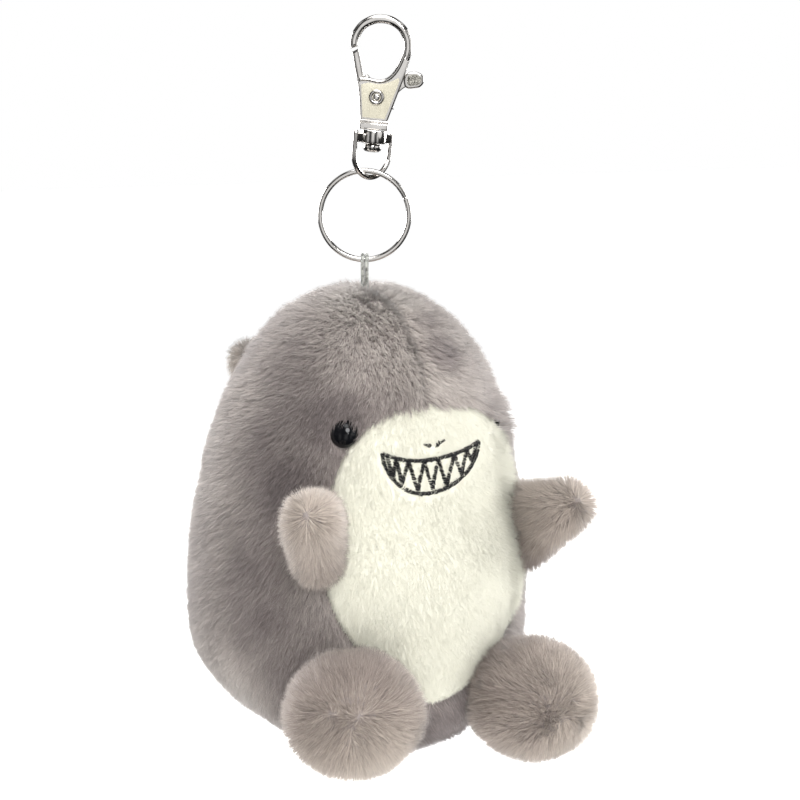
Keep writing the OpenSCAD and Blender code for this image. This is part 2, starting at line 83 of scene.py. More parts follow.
CROWN_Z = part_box("side_panel_left")[1].z
CORD = box_mid("cord_loop")
MIDLINE_X = (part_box("side_panel_left")[0].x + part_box("side_panel_right")[1].x) / 2
JOINTS = {joint["name"]: joint for joint in frame["joints"]}
HARDWARE_TURN = math.atan2(JOINTS["plush_swing"]["axis"][1], JOINTS["plush_swing"]["axis"][0])

# ---------------------------------------------------------------- camera, lights and stage


def linked(name, data):
    """A new object, linked into the scene."""
    ob = bpy.data.objects.new(name, data)
    bpy.context.scene.collection.objects.link(ob)
    return ob


AZIMUTH = HARDWARE_TURN
ELEVATION = math.radians(9)
CAMERA_DISTANCE = 0.45
VIEW_SPAN = 0.172
SENSOR = 36.0


def view_axes(azimuth, elevation):
    """The way back to the camera, and its right and up."""
    back = Vector((math.sin(azimuth) * math.cos(elevation),
                   -math.cos(azimuth) * math.cos(elevation), math.sin(elevation)))
    right = Vector((math.cos(azimuth), math.sin(azimuth), 0))
    return back, right, back.cross(right)


def add_camera():
    back, right, up = view_axes(AZIMUTH, ELEVATION)
    centre = Vector((CORD.x, CORD.y, CROWN_Z - 25.2 * MM)) + right * 7.5 * MM + up * 1.1 * MM
    camera = bpy.data.cameras.new("camera")
    camera.sensor_width = SENSOR
    camera.lens = SENSOR * CAMERA_DISTANCE / VIEW_SPAN
    camera.clip_start = 0.01
    ob = linked("camera", camera)
    ob.location = centre + back * CAMERA_DISTANCE
    ob.rotation_euler = back.to_track_quat("Z", "Y").to_euler()
    bpy.context.scene.camera = ob
    return centre


VIEW_CENTRE = add_camera()


def add_area(name, azimuth, elevation, distance, size, power):
    """An area light placed round the view's centre, by angles from the camera's own azimuth."""
    back, _, _ = view_axes(AZIMUTH + math.radians(azimuth), math.radians(elevation))
    light = bpy.data.lights.new(name, "AREA")
    light.shape = "DISK"
    light.size = size
    light.energy = power
    ob = linked(name, light)
    ob.location = VIEW_CENTRE + back * distance
    ob.rotation_euler = back.to_track_quat("Z", "Y").to_euler()


def ramp_of(tree, stops):
    """A colour ramp node from (position, level) pairs."""
    ramp = tree.nodes.new("ShaderNodeValToRGB")
    elements = ramp.color_ramp.elements
    elements[0].position, elements[1].position = stops[0][0], stops[-1][0]
    elements[0].color = (stops[0][1],) * 3 + (1,)
    elements[1].color = (stops[-1][1],) * 3 + (1,)
    for position, level in stops[1:-1]:
        elements.new(position).color = (level,) * 3 + (1,)
    return ramp


def facing_level(tree, direction, stops):
    """Brightness of the room by how far a ray points along a direction."""
    place = tree.nodes.new("ShaderNodeTexCoord")
    along = tree.nodes.new("ShaderNodeVectorMath")
    along.operation = "DOT_PRODUCT"
    along.inputs[1].default_value = direction
    shifted = tree.nodes.new("ShaderNodeMapRange")
    shifted.inputs["From Min"].default_value = -1
    ramp = ramp_of(tree, stops)
    tree.links.new(place.outputs["Generated"], along.inputs[0])
    tree.links.new(along.outputs["Value"], shifted.inputs["Value"])
    tree.links.new(shifted.outputs["Result"], ramp.inputs["Fac"])
    return ramp.outputs["Color"]


# How the room mirrored by polished metal looks from left to right, and from floor to ceiling
ROOM_ACROSS = [(0.0, 0.03), (0.08, 0.05), (0.16, 0.8), (0.24, 0.05), (0.35, 0.06), (0.43, 0.9),
               (0.5, 1.0), (0.56, 0.9), (0.62, 0.08), (0.74, 0.05), (0.81, 0.95), (0.88, 0.06), (1.0, 0.03)]
ROOM_UPWARD = [(0.0, 0.05), (0.25, 0.12), (0.34, 0.5), (0.40, 0.95), (0.62, 1.0), (0.70, 0.12),
               (0.80, 0.2), (0.88, 1.0), (1.0, 1.0)]
ROOM_LIGHT = 0.52
MIRRORED_LIGHT = 1.05


def background(tree, strength):
    node = tree.nodes.new("ShaderNodeBackground")
    node.inputs["Color"].default_value = (1, 1, 1, 1)
    node.inputs["Strength"].default_value = strength
    return node


def add_studio_world():
    """White to the eye and an even soft light, with a darker, banded room for metal to mirror."""
    world = bpy.data.worlds.new("studio")
    world.use_nodes = True
    tree = world.node_tree
    tree.nodes.remove(tree.nodes["Background"])
    seen = background(tree, 1.0)
    soft = background(tree, ROOM_LIGHT)
    mirrored = background(tree, MIRRORED_LIGHT)
    right = view_axes(AZIMUTH, ELEVATION)[1]
    bands = tree.nodes.new("ShaderNodeVectorMath")
    bands.operation = "MULTIPLY"
    tree.links.new(facing_level(tree, right, ROOM_ACROSS), bands.inputs[0])
    tree.links.new(facing_level(tree, (0, 0, 1), ROOM_UPWARD), bands.inputs[1])
    tree.links.new(bands.outputs["Vector"], mirrored.inputs["Color"])
    rays = tree.nodes.new("ShaderNodeLightPath")
    for_metal = tree.nodes.new("ShaderNodeMixShader")
    for_eye = tree.nodes.new("ShaderNodeMixShader")
    tree.links.new(rays.outputs["Is Glossy Ray"], for_metal.inputs["Fac"])
    tree.links.new(soft.outputs["Background"], for_metal.inputs[1])
    tree.links.new(mirrored.outputs["Background"], for_metal.inputs[2])
    tree.links.new(rays.outputs["Is Camera Ray"], for_eye.inputs["Fac"])
    tree.links.new(for_metal.outputs["Shader"], for_eye.inputs[1])
    tree.links.new(seen.outputs["Background"], for_eye.inputs[2])
    tree.links.new(for_eye.outputs["Shader"], tree.nodes["World Output"].inputs["Surface"])
    bpy.context.scene.world = world


# Name, azimuth and elevation in degrees, distance and size in metres, power in watts
LIGHTS = [("key", 8, 42, 0.6, 0.32, 2.7), ("fill", 62, 15, 0.7, 0.5, 0.6), ("top", -20, 78, 0.6, 0.4, 1.2),
          ("rim_left", -125, 12, 0.6, 0.4, 5.0), ("rim_right", 130, 12, 0.6, 0.4, 5.0),
          ("eye_light", 12, 20, 0.7, 0.05, 0.3)]
FLOOR_HALF = 3.0
FLOOR_DROP = 60 * MM
FLOOR_GLOW = 0.55


def add_stage():
    add_studio_world()
    bpy.context.scene.view_settings.view_transform = "Standard"
    for light in LIGHTS:
        add_area(*light)
    floor_mesh = bpy.data.meshes.new("floor")
    half = FLOOR_HALF
    z = CAD_BOX[0][2] - FLOOR_DROP
    floor_mesh.from_pydata([(-half, -half, z), (half, -half, z), (half, half, z), (-half, half, z)],
                           [], [(0, 1, 2, 3)])
    floor = linked("floor", floor_mesh)
    paper = plain("pale_floor", (0.9, 0.9, 0.9), 0.9)
    shader = paper.node_tree.nodes["Principled BSDF"]
    shader.inputs["Emission Color"].default_value = (1, 1, 1, 1)
    shader.inputs["Emission Strength"].default_value = FLOOR_GLOW
    floor_mesh.materials.append(paper)
    floor.visible_glossy = False


# ---------------------------------------------------------------- materials


def plain(name, colour, roughness, metallic=0.0, sheen=0.0, specular=0.5):
    """One even colour."""
    material = bpy.data.materials.new(name)
    material.use_nodes = True
    shader = material.node_tree.nodes["Principled BSDF"]
    shader.inputs["Base Color"].default_value = (*colour, 1)
    shader.inputs["Roughness"].default_value = roughness
    shader.inputs["Metallic"].default_value = metallic
    shader.inputs["Specular IOR Level"].default_value = specular
    shader.inputs["Sheen Weight"].default_value = sheen
    return material


def mottled(name, dark, light, scale, roughness, bump, bump_scale, metallic=0.0, sheen=0.0,
            rough_spread=0.0, stretch=(1, 1, 1), specular=0.5):
    """Two colours mixed by noise, with a finer noise as bump."""
    material = plain(name, light, roughness, metallic, sheen, specular)
    tree = material.node_tree
    shader = tree.nodes["Principled BSDF"]
    place = tree.nodes.new("ShaderNodeTexCoord")
    mapping = tree.nodes.new("ShaderNodeMapping")
    mapping.inputs["Scale"].default_value = stretch
    tree.links.new(place.outputs["Object"], mapping.inputs["Vector"])
    noise = tree.nodes.new("ShaderNodeTexNoise")
    noise.inputs["Scale"].default_value = scale
    noise.inputs["Detail"].default_value = 6.0
    tree.links.new(mapping.outputs["Vector"], noise.inputs["Vector"])
    ramp = tree.nodes.new("ShaderNodeValToRGB")
    ramp.color_ramp.elements[0].position = 0.35
    ramp.color_ramp.elements[0].color = (*dark, 1)
    ramp.color_ramp.elements[1].position = 0.68
    ramp.color_ramp.elements[1].color = (*light, 1)
    tree.links.new(noise.outputs["Fac"], ramp.inputs["Fac"])
    tree.links.new(ramp.outputs["Color"], shader.inputs["Base Color"])
    if rough_spread:
        spread = tree.nodes.new("ShaderNodeMapRange")
        spread.inputs["To Min"].default_value = roughness - rough_spread
        spread.inputs["To Max"].default_value = roughness + rough_spread
        tree.links.new(noise.outputs["Fac"], spread.inputs["Value"])
        tree.links.new(spread.outputs["Result"], shader.inputs["Roughness"])
    fine = tree.nodes.new("ShaderNodeTexNoise")
    fine.inputs["Scale"].default_value = bump_scale
    fine.inputs["Detail"].default_value = 4.0
    tree.links.new(mapping.outputs["Vector"], fine.inputs["Vector"])
    raised = tree.nodes.new("ShaderNodeBump")
    raised.inputs["Strength"].default_value = bump
    raised.inputs["Distance"].default_value = 0.2 * MM
    tree.links.new(fine.outputs["Fac"], raised.inputs["Height"])
    tree.links.new(raised.outputs["Normal"], shader.inputs["Normal"])
    return material


add_stage()

NICKEL = mottled("nickel_plate", (0.62, 0.60, 0.575), (0.72, 0.70, 0.675), 400, 0.13, 0.04, 2500,
                 metallic=1.0, rough_spread=0.04)
SATIN = mottled("satin_plate", (0.50, 0.47, 0.37), (0.61, 0.58, 0.47), 350, 0.5, 0.25, 1800,
                metallic=0.35, rough_spread=0.08, stretch=(1, 1, 0.15))
GRAINED = mottled("grained_plate", (0.10, 0.098, 0.085), (0.50, 0.48, 0.43), 2600, 0.45, 1.0, 3200,
                  metallic=0.8, rough_spread=0.1)
GREY_HIDE = mottled("grey_backing", (0.25, 0.217, 0.207), (0.33, 0.29, 0.275), 700, 0.95, 0.6, 5000,
                    sheen=0.2)
WHITE_HIDE = mottled("white_backing", (0.82, 0.805, 0.68), (0.85, 0.835, 0.71), 260, 0.92, 0.3, 5200,
                     sheen=0.25)
# The black thread's paler flecks are painted sheen
THREAD = mottled("black_thread", (0.003, 0.003, 0.003), (0.035, 0.035, 0.036), 2600, 0.5, 0.6, 6000,
                 specular=0.35)
CORD_YARN = mottled("cord_yarn", (0.12, 0.122, 0.115), (0.55, 0.56, 0.52), 1600, 0.55, 0.5, 5000,
                    sheen=0.1)
EYE = mottled("eye_plastic", (0.003, 0.003, 0.004), (0.007, 0.007, 0.008), 300, 0.06, 0.01, 900,
              specular=0.3)

# Tones of the grey pile, darkest first: each needle has one of them
GREY_TONES = [(0.205, 0.173, 0.168), (0.265, 0.226, 0.216), (0.33, 0.285, 0.268),
              (0.395, 0.345, 0.322), (0.465, 0.411, 0.380), (0.54, 0.482, 0.443), (0.62, 0.565, 0.520)]
# The limbs' pile is the same, a little warmer
LIMB_WARMTH = (1.01, 0.975, 0.915)
WHITE_TONES = [(0.835, 0.818, 0.695), (0.85, 0.835, 0.71), (0.865, 0.85, 0.73)]
GREY_PILE = [plain(f"grey_pile_{i}", tone, 0.7, sheen=0.3, specular=0.25)
             for i, tone in enumerate(GREY_TONES)]
LIMB_PILE = [plain(f"limb_pile_{i}", tuple(np.array(tone) * LIMB_WARMTH), 0.7, sheen=0.3, specular=0.25)
             for i, tone in enumerate(GREY_TONES)]
WHITE_PILE = [plain(f"white_pile_{i}", tone, 0.8, sheen=0.1, specular=0.2)
              for i, tone in enumerate(WHITE_TONES)]

# ---------------------------------------------------------------- mesh helpers


def mesh_arrays(ob):
    """A mesh's points and its triangles' corners."""
    mesh = ob.data
    mesh.calc_loop_triangles()
    points = np.empty(len(mesh.vertices) * 3)
    mesh.vertices.foreach_get("co", points)
    corners = np.empty(len(mesh.loop_triangles) * 3, np.int32)
    mesh.loop_triangles.foreach_get("vertices", corners)
    return points.reshape(-1, 3), corners.reshape(-1, 3)


def smooth_faces(mesh):
    mesh.polygons.foreach_set("use_smooth", np.ones(len(mesh.polygons), bool))


def discard(ob):
    """Takes away an object and its mesh."""
    mesh = ob.data
    bpy.data.objects.remove(ob)
    bpy.data.meshes.remove(mesh)


def new_object(name, points, quads=None, triangles=None):
    """A mesh object straight from arrays: quads first, then triangles."""
    quads = np.zeros((0, 4), np.int32) if quads is None else np.asarray(quads, np.int32)
    triangles = np.zeros((0, 3), np.int32) if triangles is None else np.asarray(triangles, np.int32)
    mesh = bpy.data.meshes.new(name)
    mesh.vertices.add(len(points))
    mesh.vertices.foreach_set("co", np.asarray(points, np.float32).ravel())
    mesh.loops.add(quads.size + triangles.size)
    mesh.loops.foreach_set("vertex_index", np.concatenate([quads.ravel(), triangles.ravel()]))
    mesh.polygons.add(len(quads) + len(triangles))
    starts = np.concatenate([np.arange(len(quads)) * 4, quads.size + np.arange(len(triangles)) * 3])
    mesh.polygons.foreach_set("loop_start", starts.astype(np.int32))
    smooth_faces(mesh)
    mesh.update(calc_edges=True)
    return linked(name, mesh)


def tree_of(*names):
    """One search tree over the CAD nodes named."""
    points, triangles, start = [], [], 0
    for name in names:
        p, t = mesh_arrays(NODES[name])
        points.append(p)
        triangles.append(t + start)
        start += len(p)
    return BVHTree.FromPolygons(np.concatenate(points).tolist(), np.concatenate(triangles).tolist())


def baked(ob):
    """Applies an object's modifiers to its mesh."""
    depsgraph = bpy.context.evaluated_depsgraph_get()
    mesh = bpy.data.meshes.new_from_object(ob.evaluated_get(depsgraph))
    ob.modifiers.clear()
    old = ob.data
    ob.data = mesh
    bpy.data.meshes.remove(old)
    return ob


def largest_piece(ob):
    """Keeps only the outer surface after a remesh."""
    bm = bmesh.new()
    bm.from_mesh(ob.data)
    bm.verts.ensure_lookup_table()
    seen, best = set(), []
    for vert in bm.verts:
        if vert.index in seen:
            continue
        group, stack = [], [vert]
        seen.add(vert.index)
        while stack:
            at = stack.pop()
            group.append(at)
            for edge in at.link_edges:
                other = edge.other_vert(at)
                if other.index not in seen:
                    seen.add(other.index)
                    stack.append(other)
        if len(group) > len(best):
            best = group
    keep = {v.index for v in best}
    bmesh.ops.delete(bm, geom=[v for v in bm.verts if v.index not in keep], context="VERTS")
    bm.to_mesh(ob.data)
    bm.free()
    return ob


def blank_from_nodes(name, nodes, voxel, smooth_steps):
    """A smooth closed skin round some CAD solids."""
    parts = [mesh_arrays(NODES[n]) for n in nodes]
    starts = np.cumsum([0] + [len(p) for p, _ in parts])
    ob = new_object(name, np.concatenate([p for p, _ in parts]),
                    triangles=np.concatenate([t + s for (_, t), s in zip(parts, starts)]))
    remesh = ob.modifiers.new("remesh", "REMESH")
    remesh.mode = "VOXEL"
    remesh.voxel_size = voxel
    baked(ob)
    largest_piece(ob)
    smooth = ob.modifiers.new("smooth", "SMOOTH")
    smooth.factor = 0.5
    smooth.iterations = smooth_steps
    return baked(ob)


def vertex_points(ob):
    points = np.empty(len(ob.data.vertices) * 3, np.float32)
    ob.data.vertices.foreach_get("co", points)
    return points.reshape(-1, 3).astype(float)


def vertex_normals(ob):
    normals = np.empty(len(ob.data.vertices) * 3, np.float32)
    ob.data.vertices.foreach_get("normal", normals)
    return normals.reshape(-1, 3).astype(float)


def set_points(ob, points):
    ob.data.vertices.foreach_set("co", np.asarray(points, np.float32).ravel())
    ob.data.update()


PRESSURE = 4.0
CLOTH_STEPS = 20


def inflate(ob, pins, cap):
    """Lets a skin fill under pressure like stuffed cloth, held along its seams, by cap at most."""
    rest = vertex_points(ob)
    group = ob.vertex_groups.new(name="seams")
    for index in range(len(rest)):
        if pins[index] > 0.02:
            group.add([index], float(pins[index]), "REPLACE")
    cloth = ob.modifiers.new("cloth", "CLOTH")
    cloth.settings.quality = 6
    cloth.settings.mass = 0.15
    cloth.settings.tension_stiffness = 20
    cloth.settings.compression_stiffness = 20
    cloth.settings.shear_stiffness = 10
    cloth.settings.bending_stiffness = 0.8
    cloth.settings.use_pressure = True
    cloth.settings.uniform_pressure_force = PRESSURE
    cloth.settings.effector_weights.gravity = 0
    cloth.settings.vertex_group_mass = "seams"
    cloth.collision_settings.use_collision = False
    scene = bpy.context.scene
    for step in range(1, CLOTH_STEPS + 1):
        scene.frame_set(step)
    depsgraph = bpy.context.evaluated_depsgraph_get()
    filled = ob.evaluated_get(depsgraph)
    moved = np.empty(len(rest) * 3, np.float32)
    filled.data.vertices.foreach_get("co", moved)
    move = moved.reshape(-1, 3).astype(float) - rest
    length = np.linalg.norm(move, axis=1, keepdims=True)
    move *= np.minimum(1, cap / np.maximum(length, 1e-9))
    ob.modifiers.clear()
    ob.vertex_groups.clear()
    scene.frame_set(1)
    set_points(ob, rest + move)
    return ob


def divide(ob):
    rounder = ob.modifiers.new("rounder", "SUBSURF")
    rounder.levels = 1
    rounder.render_levels = 1
    return baked(ob)


def unit_rows(vectors):
    return vectors / np.maximum(np.linalg.norm(vectors, axis=1, keepdims=True), 1e-12)


def smooth_step(x):
    x = np.clip(x, 0, 1)
    return x * x * (3 - 2 * x)


def distances(tree, points):
    return np.array([tree.find_nearest(Vector(p))[3] for p in points])


def soft_noise(points, size, seed):
    """Smooth noise from -1 to 1 at points, with blobs of about the given size."""
    table = np.random.default_rng(seed).uniform(-1, 1, 4096)
    at = np.asarray(points) / size + 1000.0
    cell = np.floor(at).astype(np.int64)
    part = smooth_step(at - cell)
    total = np.zeros(len(at))
    for dx in (0, 1):
        for dy in (0, 1):
            for dz in (0, 1):
                corner = cell + (dx, dy, dz)
                spot = (corner[:, 0] * 73856093) ^ (corner[:, 1] * 19349663) ^ (corner[:, 2] * 83492791)
                weight = (np.where(dx, part[:, 0], 1 - part[:, 0])
                          * np.where(dy, part[:, 1], 1 - part[:, 1])
                          * np.where(dz, part[:, 2], 1 - part[:, 2]))
                total += weight * table[spot & 4095]
    return total


def soft_vectors(points, size, seed):
    """Soft noise along each of the three axes."""
    return np.stack([soft_noise(points, size, seed + axis) for axis in range(3)], axis=1)


def split_by(ob, labels, names):
    """Cuts a mesh into one object per label; a face goes with its first corner's label."""
    points = vertex_points(ob)
    faces = [tuple(p.vertices) for p in ob.data.polygons]
    first = np.array([labels[list(f)].min() for f in faces])
    made = []
    for label, name in enumerate(names):
        mine = [faces[i] for i in np.nonzero(first == label)[0]]
        used = np.unique(np.array([v for f in mine for v in f], np.int64))
        renumber = -np.ones(len(points), np.int64)
        renumber[used] = np.arange(len(used))
        mesh = bpy.data.meshes.new(name)
        mesh.from_pydata(points[used].tolist(), [], [[int(renumber[v]) for v in f] for f in mine])
        smooth_faces(mesh)
        mesh.update()
        made.append(linked(name, mesh))
    discard(ob)
    return made


CLOTH_THICK = 0.6 * MM


def thicken(ob):
    """Gives cloth its thickness, inward."""
    solid = ob.modifiers.new("cloth_thickness", "SOLIDIFY")
    solid.thickness = CLOTH_THICK
    solid.offset = -1
    return baked(ob)


def inset_copy(ob, name, depth):
    points, triangles = mesh_arrays(ob)
    return new_object(name, points - vertex_normals(ob) * depth, triangles=triangles)


def stand_for(ob, body, slot, *nodes):
    """Says which body a piece rides on and which CAD nodes it replaces, and hides those; slot, what it is
    made of, is not used.
    """
    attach(ob, body)
    if nodes:
        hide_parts(*nodes)


def dress(ob, material, body, slot, *nodes):
    ob.data.materials.clear()
    ob.data.materials.append(material)
    stand_for(ob, body, slot, *nodes)


# ---------------------------------------------------------------- pile


def scatter(ob, density, source):
    """Random roots over a mesh: places and normals. Density is per square metre."""
    points, triangles = mesh_arrays(ob)
    normals = vertex_normals(ob)
    a, b, c = (points[triangles[:, k]] for k in range(3))
    area = np.linalg.norm(np.cross(b - a, c - a), axis=1) / 2
    count = int(area.sum() * density)
    pick = source.choice(len(triangles), count, p=area / area.sum())
    u = source.random(count)
    v = source.random(count)
    over = u + v > 1
    u[over], v[over] = 1 - u[over], 1 - v[over]
    w = 1 - u - v
    mix = np.stack([w, u, v], axis=1)[:, :, None]
    place = (points[triangles[pick]] * mix).sum(axis=1)
    normal = unit_rows((normals[triangles[pick]] * mix).sum(axis=1))
    return place, normal


def spot_tree(spots):
    """A search tree that finds the nearest spot's number."""
    tree = KDTree(len(spots))
    for index, spot in enumerate(spots):
        tree.insert(spot, index)
    tree.balance()
    return tree


def tufts(place, source, spacing):
    """Centres of tufts among the roots, and which of them each root is nearest."""
    centres = place[source.choice(len(place), max(4, len(place) // spacing), replace=False)]
    tree = spot_tree(centres)
    nearest = np.array([tree.find(p)[1] for p in place])
    return centres, nearest


CURL = 0.25
ROOT_DEPTH = 0.15 * MM
# So that no piece is over the exporter's limit of 200,000 faces
MOST_NEEDLES = 62000


def grow(name, place, normal, comb, length, lift, tone, width, materials, source,
         clump=0.22, clump_size=9, ruffle=0.16, shade_soft=0.85):
    """Three-sided needles, rooted in the skin and drawn together in tufts.

    lift is 0 for needles that lie flat and 1 for upright ones.
    """
    count = len(place)
    comb = unit_rows(comb - normal * (comb * normal).sum(axis=1, keepdims=True))
    side = np.cross(normal, comb)
    centres, nearest = tufts(place, source, clump_size)
    sway = source.normal(0, ruffle, (len(centres), 1))[nearest] + source.normal(0, ruffle * 0.6, (count, 1))
    lean = unit_rows(comb + side * sway)
    rise = np.clip(lift + source.normal(0, 0.08, count) + source.normal(0, 0.1, len(centres))[nearest],
                   0.08, 0.97)[:, None]
    size = (length * source.uniform(0.72, 1.18, count))[:, None]
    first = unit_rows(normal * (rise + 0.15) + lean * (1 - rise))
    second = unit_rows(first + lean * CURL + normal * (rise - 0.6) * 0.5)
    tip = place + (first * 0.55 + second * 0.5) * size
    tip = tip + (centres[nearest] - place) * clump * source.uniform(0.4, 1.0, (count, 1))
    root = place - normal * ROOT_DEPTH
    across = unit_rows(np.cross(first, normal))
    over = np.cross(first, across)
    half = (width * source.uniform(0.75, 1.25, count))[:, None] / 2
    corners = [root + half * (across * math.cos(angle) + over * math.sin(angle))
               for angle in (0, math.radians(120), math.radians(240))]
    verts = np.stack(corners + [tip], axis=1)
    strand_normal = unit_rows(normal - first * (normal * first).sum(axis=1, keepdims=True))
    shade = unit_rows(normal * shade_soft + strand_normal * (1 - shade_soft)
                      + across * source.normal(0, 0.18, (count, 1)))
    order = np.lexsort((place[:, 0], np.round(place[:, 2] / (6 * MM))))
    pieces = []
    parts = max(1, math.ceil(count / MOST_NEEDLES))
    for number, chosen in enumerate(np.array_split(order, parts)):
        n = len(chosen)
        sides = np.array([[0, 1, 3], [1, 2, 3], [2, 0, 3]])
        triangles = (np.arange(n)[:, None, None] * 4 + sides).reshape(-1, 3)
        ob = new_object(f"{name}_{number + 1}" if parts > 1 else name,
                        verts[chosen].reshape(-1, 3), triangles=triangles)
        for material in materials:
            ob.data.materials.append(material)
        ob.data.polygons.foreach_set("material_index", np.repeat(tone[chosen], 3).astype(np.int32))
        ob.data.normals_split_custom_set_from_vertices(
            np.repeat(shade[chosen], 4, axis=0).astype(np.float32).tolist())
        pieces.append(ob)
    return pieces


def tone_of(place, source, middle, spread, blotch, count):
    """Which of the tones each strand has: soft blotches, finer flecks and chance."""
    value = (middle + blotch * (0.95 * soft_noise(place, 13 * MM, 21) + 0.5 * soft_noise(place, 6 * MM, 22))
             + 0.25 * soft_noise(place, 1.5 * MM, 23) + source.normal(0, spread, len(place)))
    return np.clip(np.round(value), 0, count - 1).astype(int)


# ---------------------------------------------------------------- the body's skin

PANEL_NODES = ["side_panel_left", "side_panel_right", "belly_panel", "base_panel"]
PANEL_TREES = [tree_of(node) for node in PANEL_NODES]
BODY_TREE = tree_of(*PANEL_NODES)
# How far the body leans back on its way down, and how deep its filling lies
SET_BACK = 0.043
FILLING_DEPTH = 1.5 * MM


def panel_fields(points):
    """For each point: the nearest panel, and how much further off the next one is (0 on a seam)."""
    gaps = np.stack([distances(tree, points) for tree in PANEL_TREES], axis=1)
    order = np.sort(gaps, axis=1)
    return gaps.argmin(axis=1), order[:, 1] - order[:, 0]


def eye_frame(node, washer):
    """An eye's centre on the face and its outward axis."""
    out = (box_mid(node) - box_mid(washer)).normalized()
    return box_mid(node), out


EYES = {side: eye_frame(f"eye_{side}", f"eye_washer_{side}") for side in ("left", "right")}


def settle(points):
    """The filling has sunk: the seat hangs lower in front, and at the right it sits higher and bulges."""
    depth = CROWN_Z - points[:, 2]
    away = points[:, :2] - np.stack([np.full(len(points), MIDLINE_X), CORD.y + SET_BACK * depth], axis=1)
    turn = np.degrees(np.arctan2(away[:, 0], -away[:, 1]))
    low = smooth_step((depth - 68 * MM) / (24 * MM))
    front = smooth_step(1.3 - np.abs(turn + 5) / 60)
    side = smooth_step(1.2 - np.abs(turn + 112) / 55)
    middle = smooth_step(1.25 - np.abs(depth - 52 * MM) / (34 * MM))
    outer = smooth_step((np.linalg.norm(away, axis=1) - 17 * MM) / (8 * MM))
    points[:, 2] += low * (side * outer * 3.0 - front * 3.2) * MM
    points[:, :2] += unit_rows(away) * (side * middle * 1.2 * MM)[:, None]
    return points


def make_body_skin():
    blank = blank_from_nodes("body_blank", PANEL_NODES + ["body_stuffing"], 1.25 * MM, 4)
    points = vertex_points(blank)
    _, seam_gap = panel_fields(points)
    pins = smooth_step(1 - seam_gap / (2.2 * MM))
    for centre, _ in EYES.values():
        reach = np.linalg.norm(points - np.array(centre), axis=1)
        pins = np.maximum(pins, smooth_step((9 * MM - reach) / (4 * MM)))
    inflate(blank, pins, 1.0 * MM)
    divide(blank)
    points = vertex_points(blank)
    normals = vertex_normals(blank)
    panel, seam_gap = panel_fields(points)
    points -= normals * (smooth_step(1 - seam_gap / (1.4 * MM)) * 0.55 * MM)[:, None]
    set_points(blank, settle(points))
    return blank, panel


body_blank, body_panel = make_body_skin()
body_points, body_triangles = mesh_arrays(body_blank)
body_filling = inset_copy(body_blank, "body_filling", FILLING_DEPTH)
skins = split_by(body_blank, body_panel, ["grey_side_left", "grey_side_right", "white_belly", "grey_seat"])
SKIN_TREE = BVHTree.FromPolygons(body_points.tolist(), body_triangles.tolist())


def body_axis(z):
    """The middle of the body at a height."""
    return np.array([MIDLINE_X, CORD.y + SET_BACK * (CROWN_Z - z), z])


def on_face(turn, depth):
    """A spot on the finished skin, by its angle from the nose and depth below the crown."""
    z = CROWN_Z - depth
    start = Vector(body_axis(z))
    way = Vector((math.sin(turn), -math.cos(turn), 0))
    hit, normal, _, _ = SKIN_TREE.ray_cast(start + way * 100 * MM, -way)
    if normal.dot(way) < 0:
        normal = -normal
    return hit, normal


# ---------------------------------------------------------------- grey pile of the body

CROWN = np.array([CORD.x, CORD.y, CROWN_Z])


def body_comb(place):
    """The pile lies downward, away from the crown and out from the middle seam, with soft swirls."""
    down = np.zeros_like(place)
    down[:, 2] = -1
    out = place - CROWN
    out[:, 2] = 0
    near_crown = smooth_step(1.2 - np.linalg.norm(out, axis=1) / (26 * MM))[:, None]
    comb = down + unit_rows(out) * (0.25 + 1.1 * near_crown)
    comb[:, 1] -= 0.6 * near_crown[:, 0]
    seam_side = place[:, 0] - MIDLINE_X
    near_seam = np.exp(-np.abs(seam_side) / (7 * MM))
    comb[:, 0] += np.sign(seam_side) * near_seam * 0.55
    front = np.clip((CORD.y + SET_BACK * (CROWN_Z - place[:, 2]) - place[:, 1]) / (30 * MM), -1, 1)
    comb[:, 1] -= 0.35 * (1 - np.abs(front)) * smooth_step((CROWN_Z - place[:, 2]) / (30 * MM))
    return comb + soft_vectors(place, 13 * MM, 1) * 0.35 + soft_vectors(place, 4 * MM, 4) * 0.12


# Patches of painted tone on the grey pile. Some stand for pile brushed the other way. Others are painted
# shade beside the near eye, on the shaded side of the head's middle ridge, and above and below the near
# flipper. Others are painted light on the crown, against the needles' own shadow there. Each patch:
# degrees round from the nose, mm below the crown, radius in mm, change of tone
SHADED_AND_BRUSHED = [(-58, 30, 14, -1.7), (-70, 13, 8, -1.2), (-39, 23, 7, -1.8), (-66, 60, 9, -1.9),
           (-62, 74, 9, -0.8), (-24, 6, 14, 1.8), (-18, 1, 9, 3.8), (0, 14, 8, 1.2), (4, 20, 6, 1.2),
           (22, 20, 6, 1.4), (14, 5, 4, -2.4), (14, 11, 5, -2.8), (-54, 38, 7, -2.0), (-52, 68, 8, -0.6),
           (-72, 79, 8, 1.6), (-102, 48, 14, 1.0), (-95, 78, 14, 2.2), (14, 90, 13, -2.6), (-30, 84, 9, 0.8)]


# Tone shift from the patches of painted light and shade
def shaded_and_brushed(place):
    shift = np.zeros(len(place))
    for turn, depth, radius, change in SHADED_AND_BRUSHED:
        centre, _ = on_face(math.radians(turn), depth * MM)
        reach = np.linalg.norm(place - np.array(centre), axis=1) / (radius * MM)
        shift += change * smooth_step(1.35 - reach)
    return shift


EYE_CLEAR = 2.75 * MM
EYE_NEAR = 12 * MM


def clear_of_eyes(place):
    """Which roots are not under an eye."""
    keep = np.ones(len(place), bool)
    for centre, out in EYES.values():
        offset = place - np.array(centre)
        flat = offset - np.outer(offset @ np.array(out), np.array(out))
        keep &= (np.linalg.norm(flat, axis=1) > EYE_CLEAR) | (np.linalg.norm(offset, axis=1) > EYE_NEAR)
    return keep


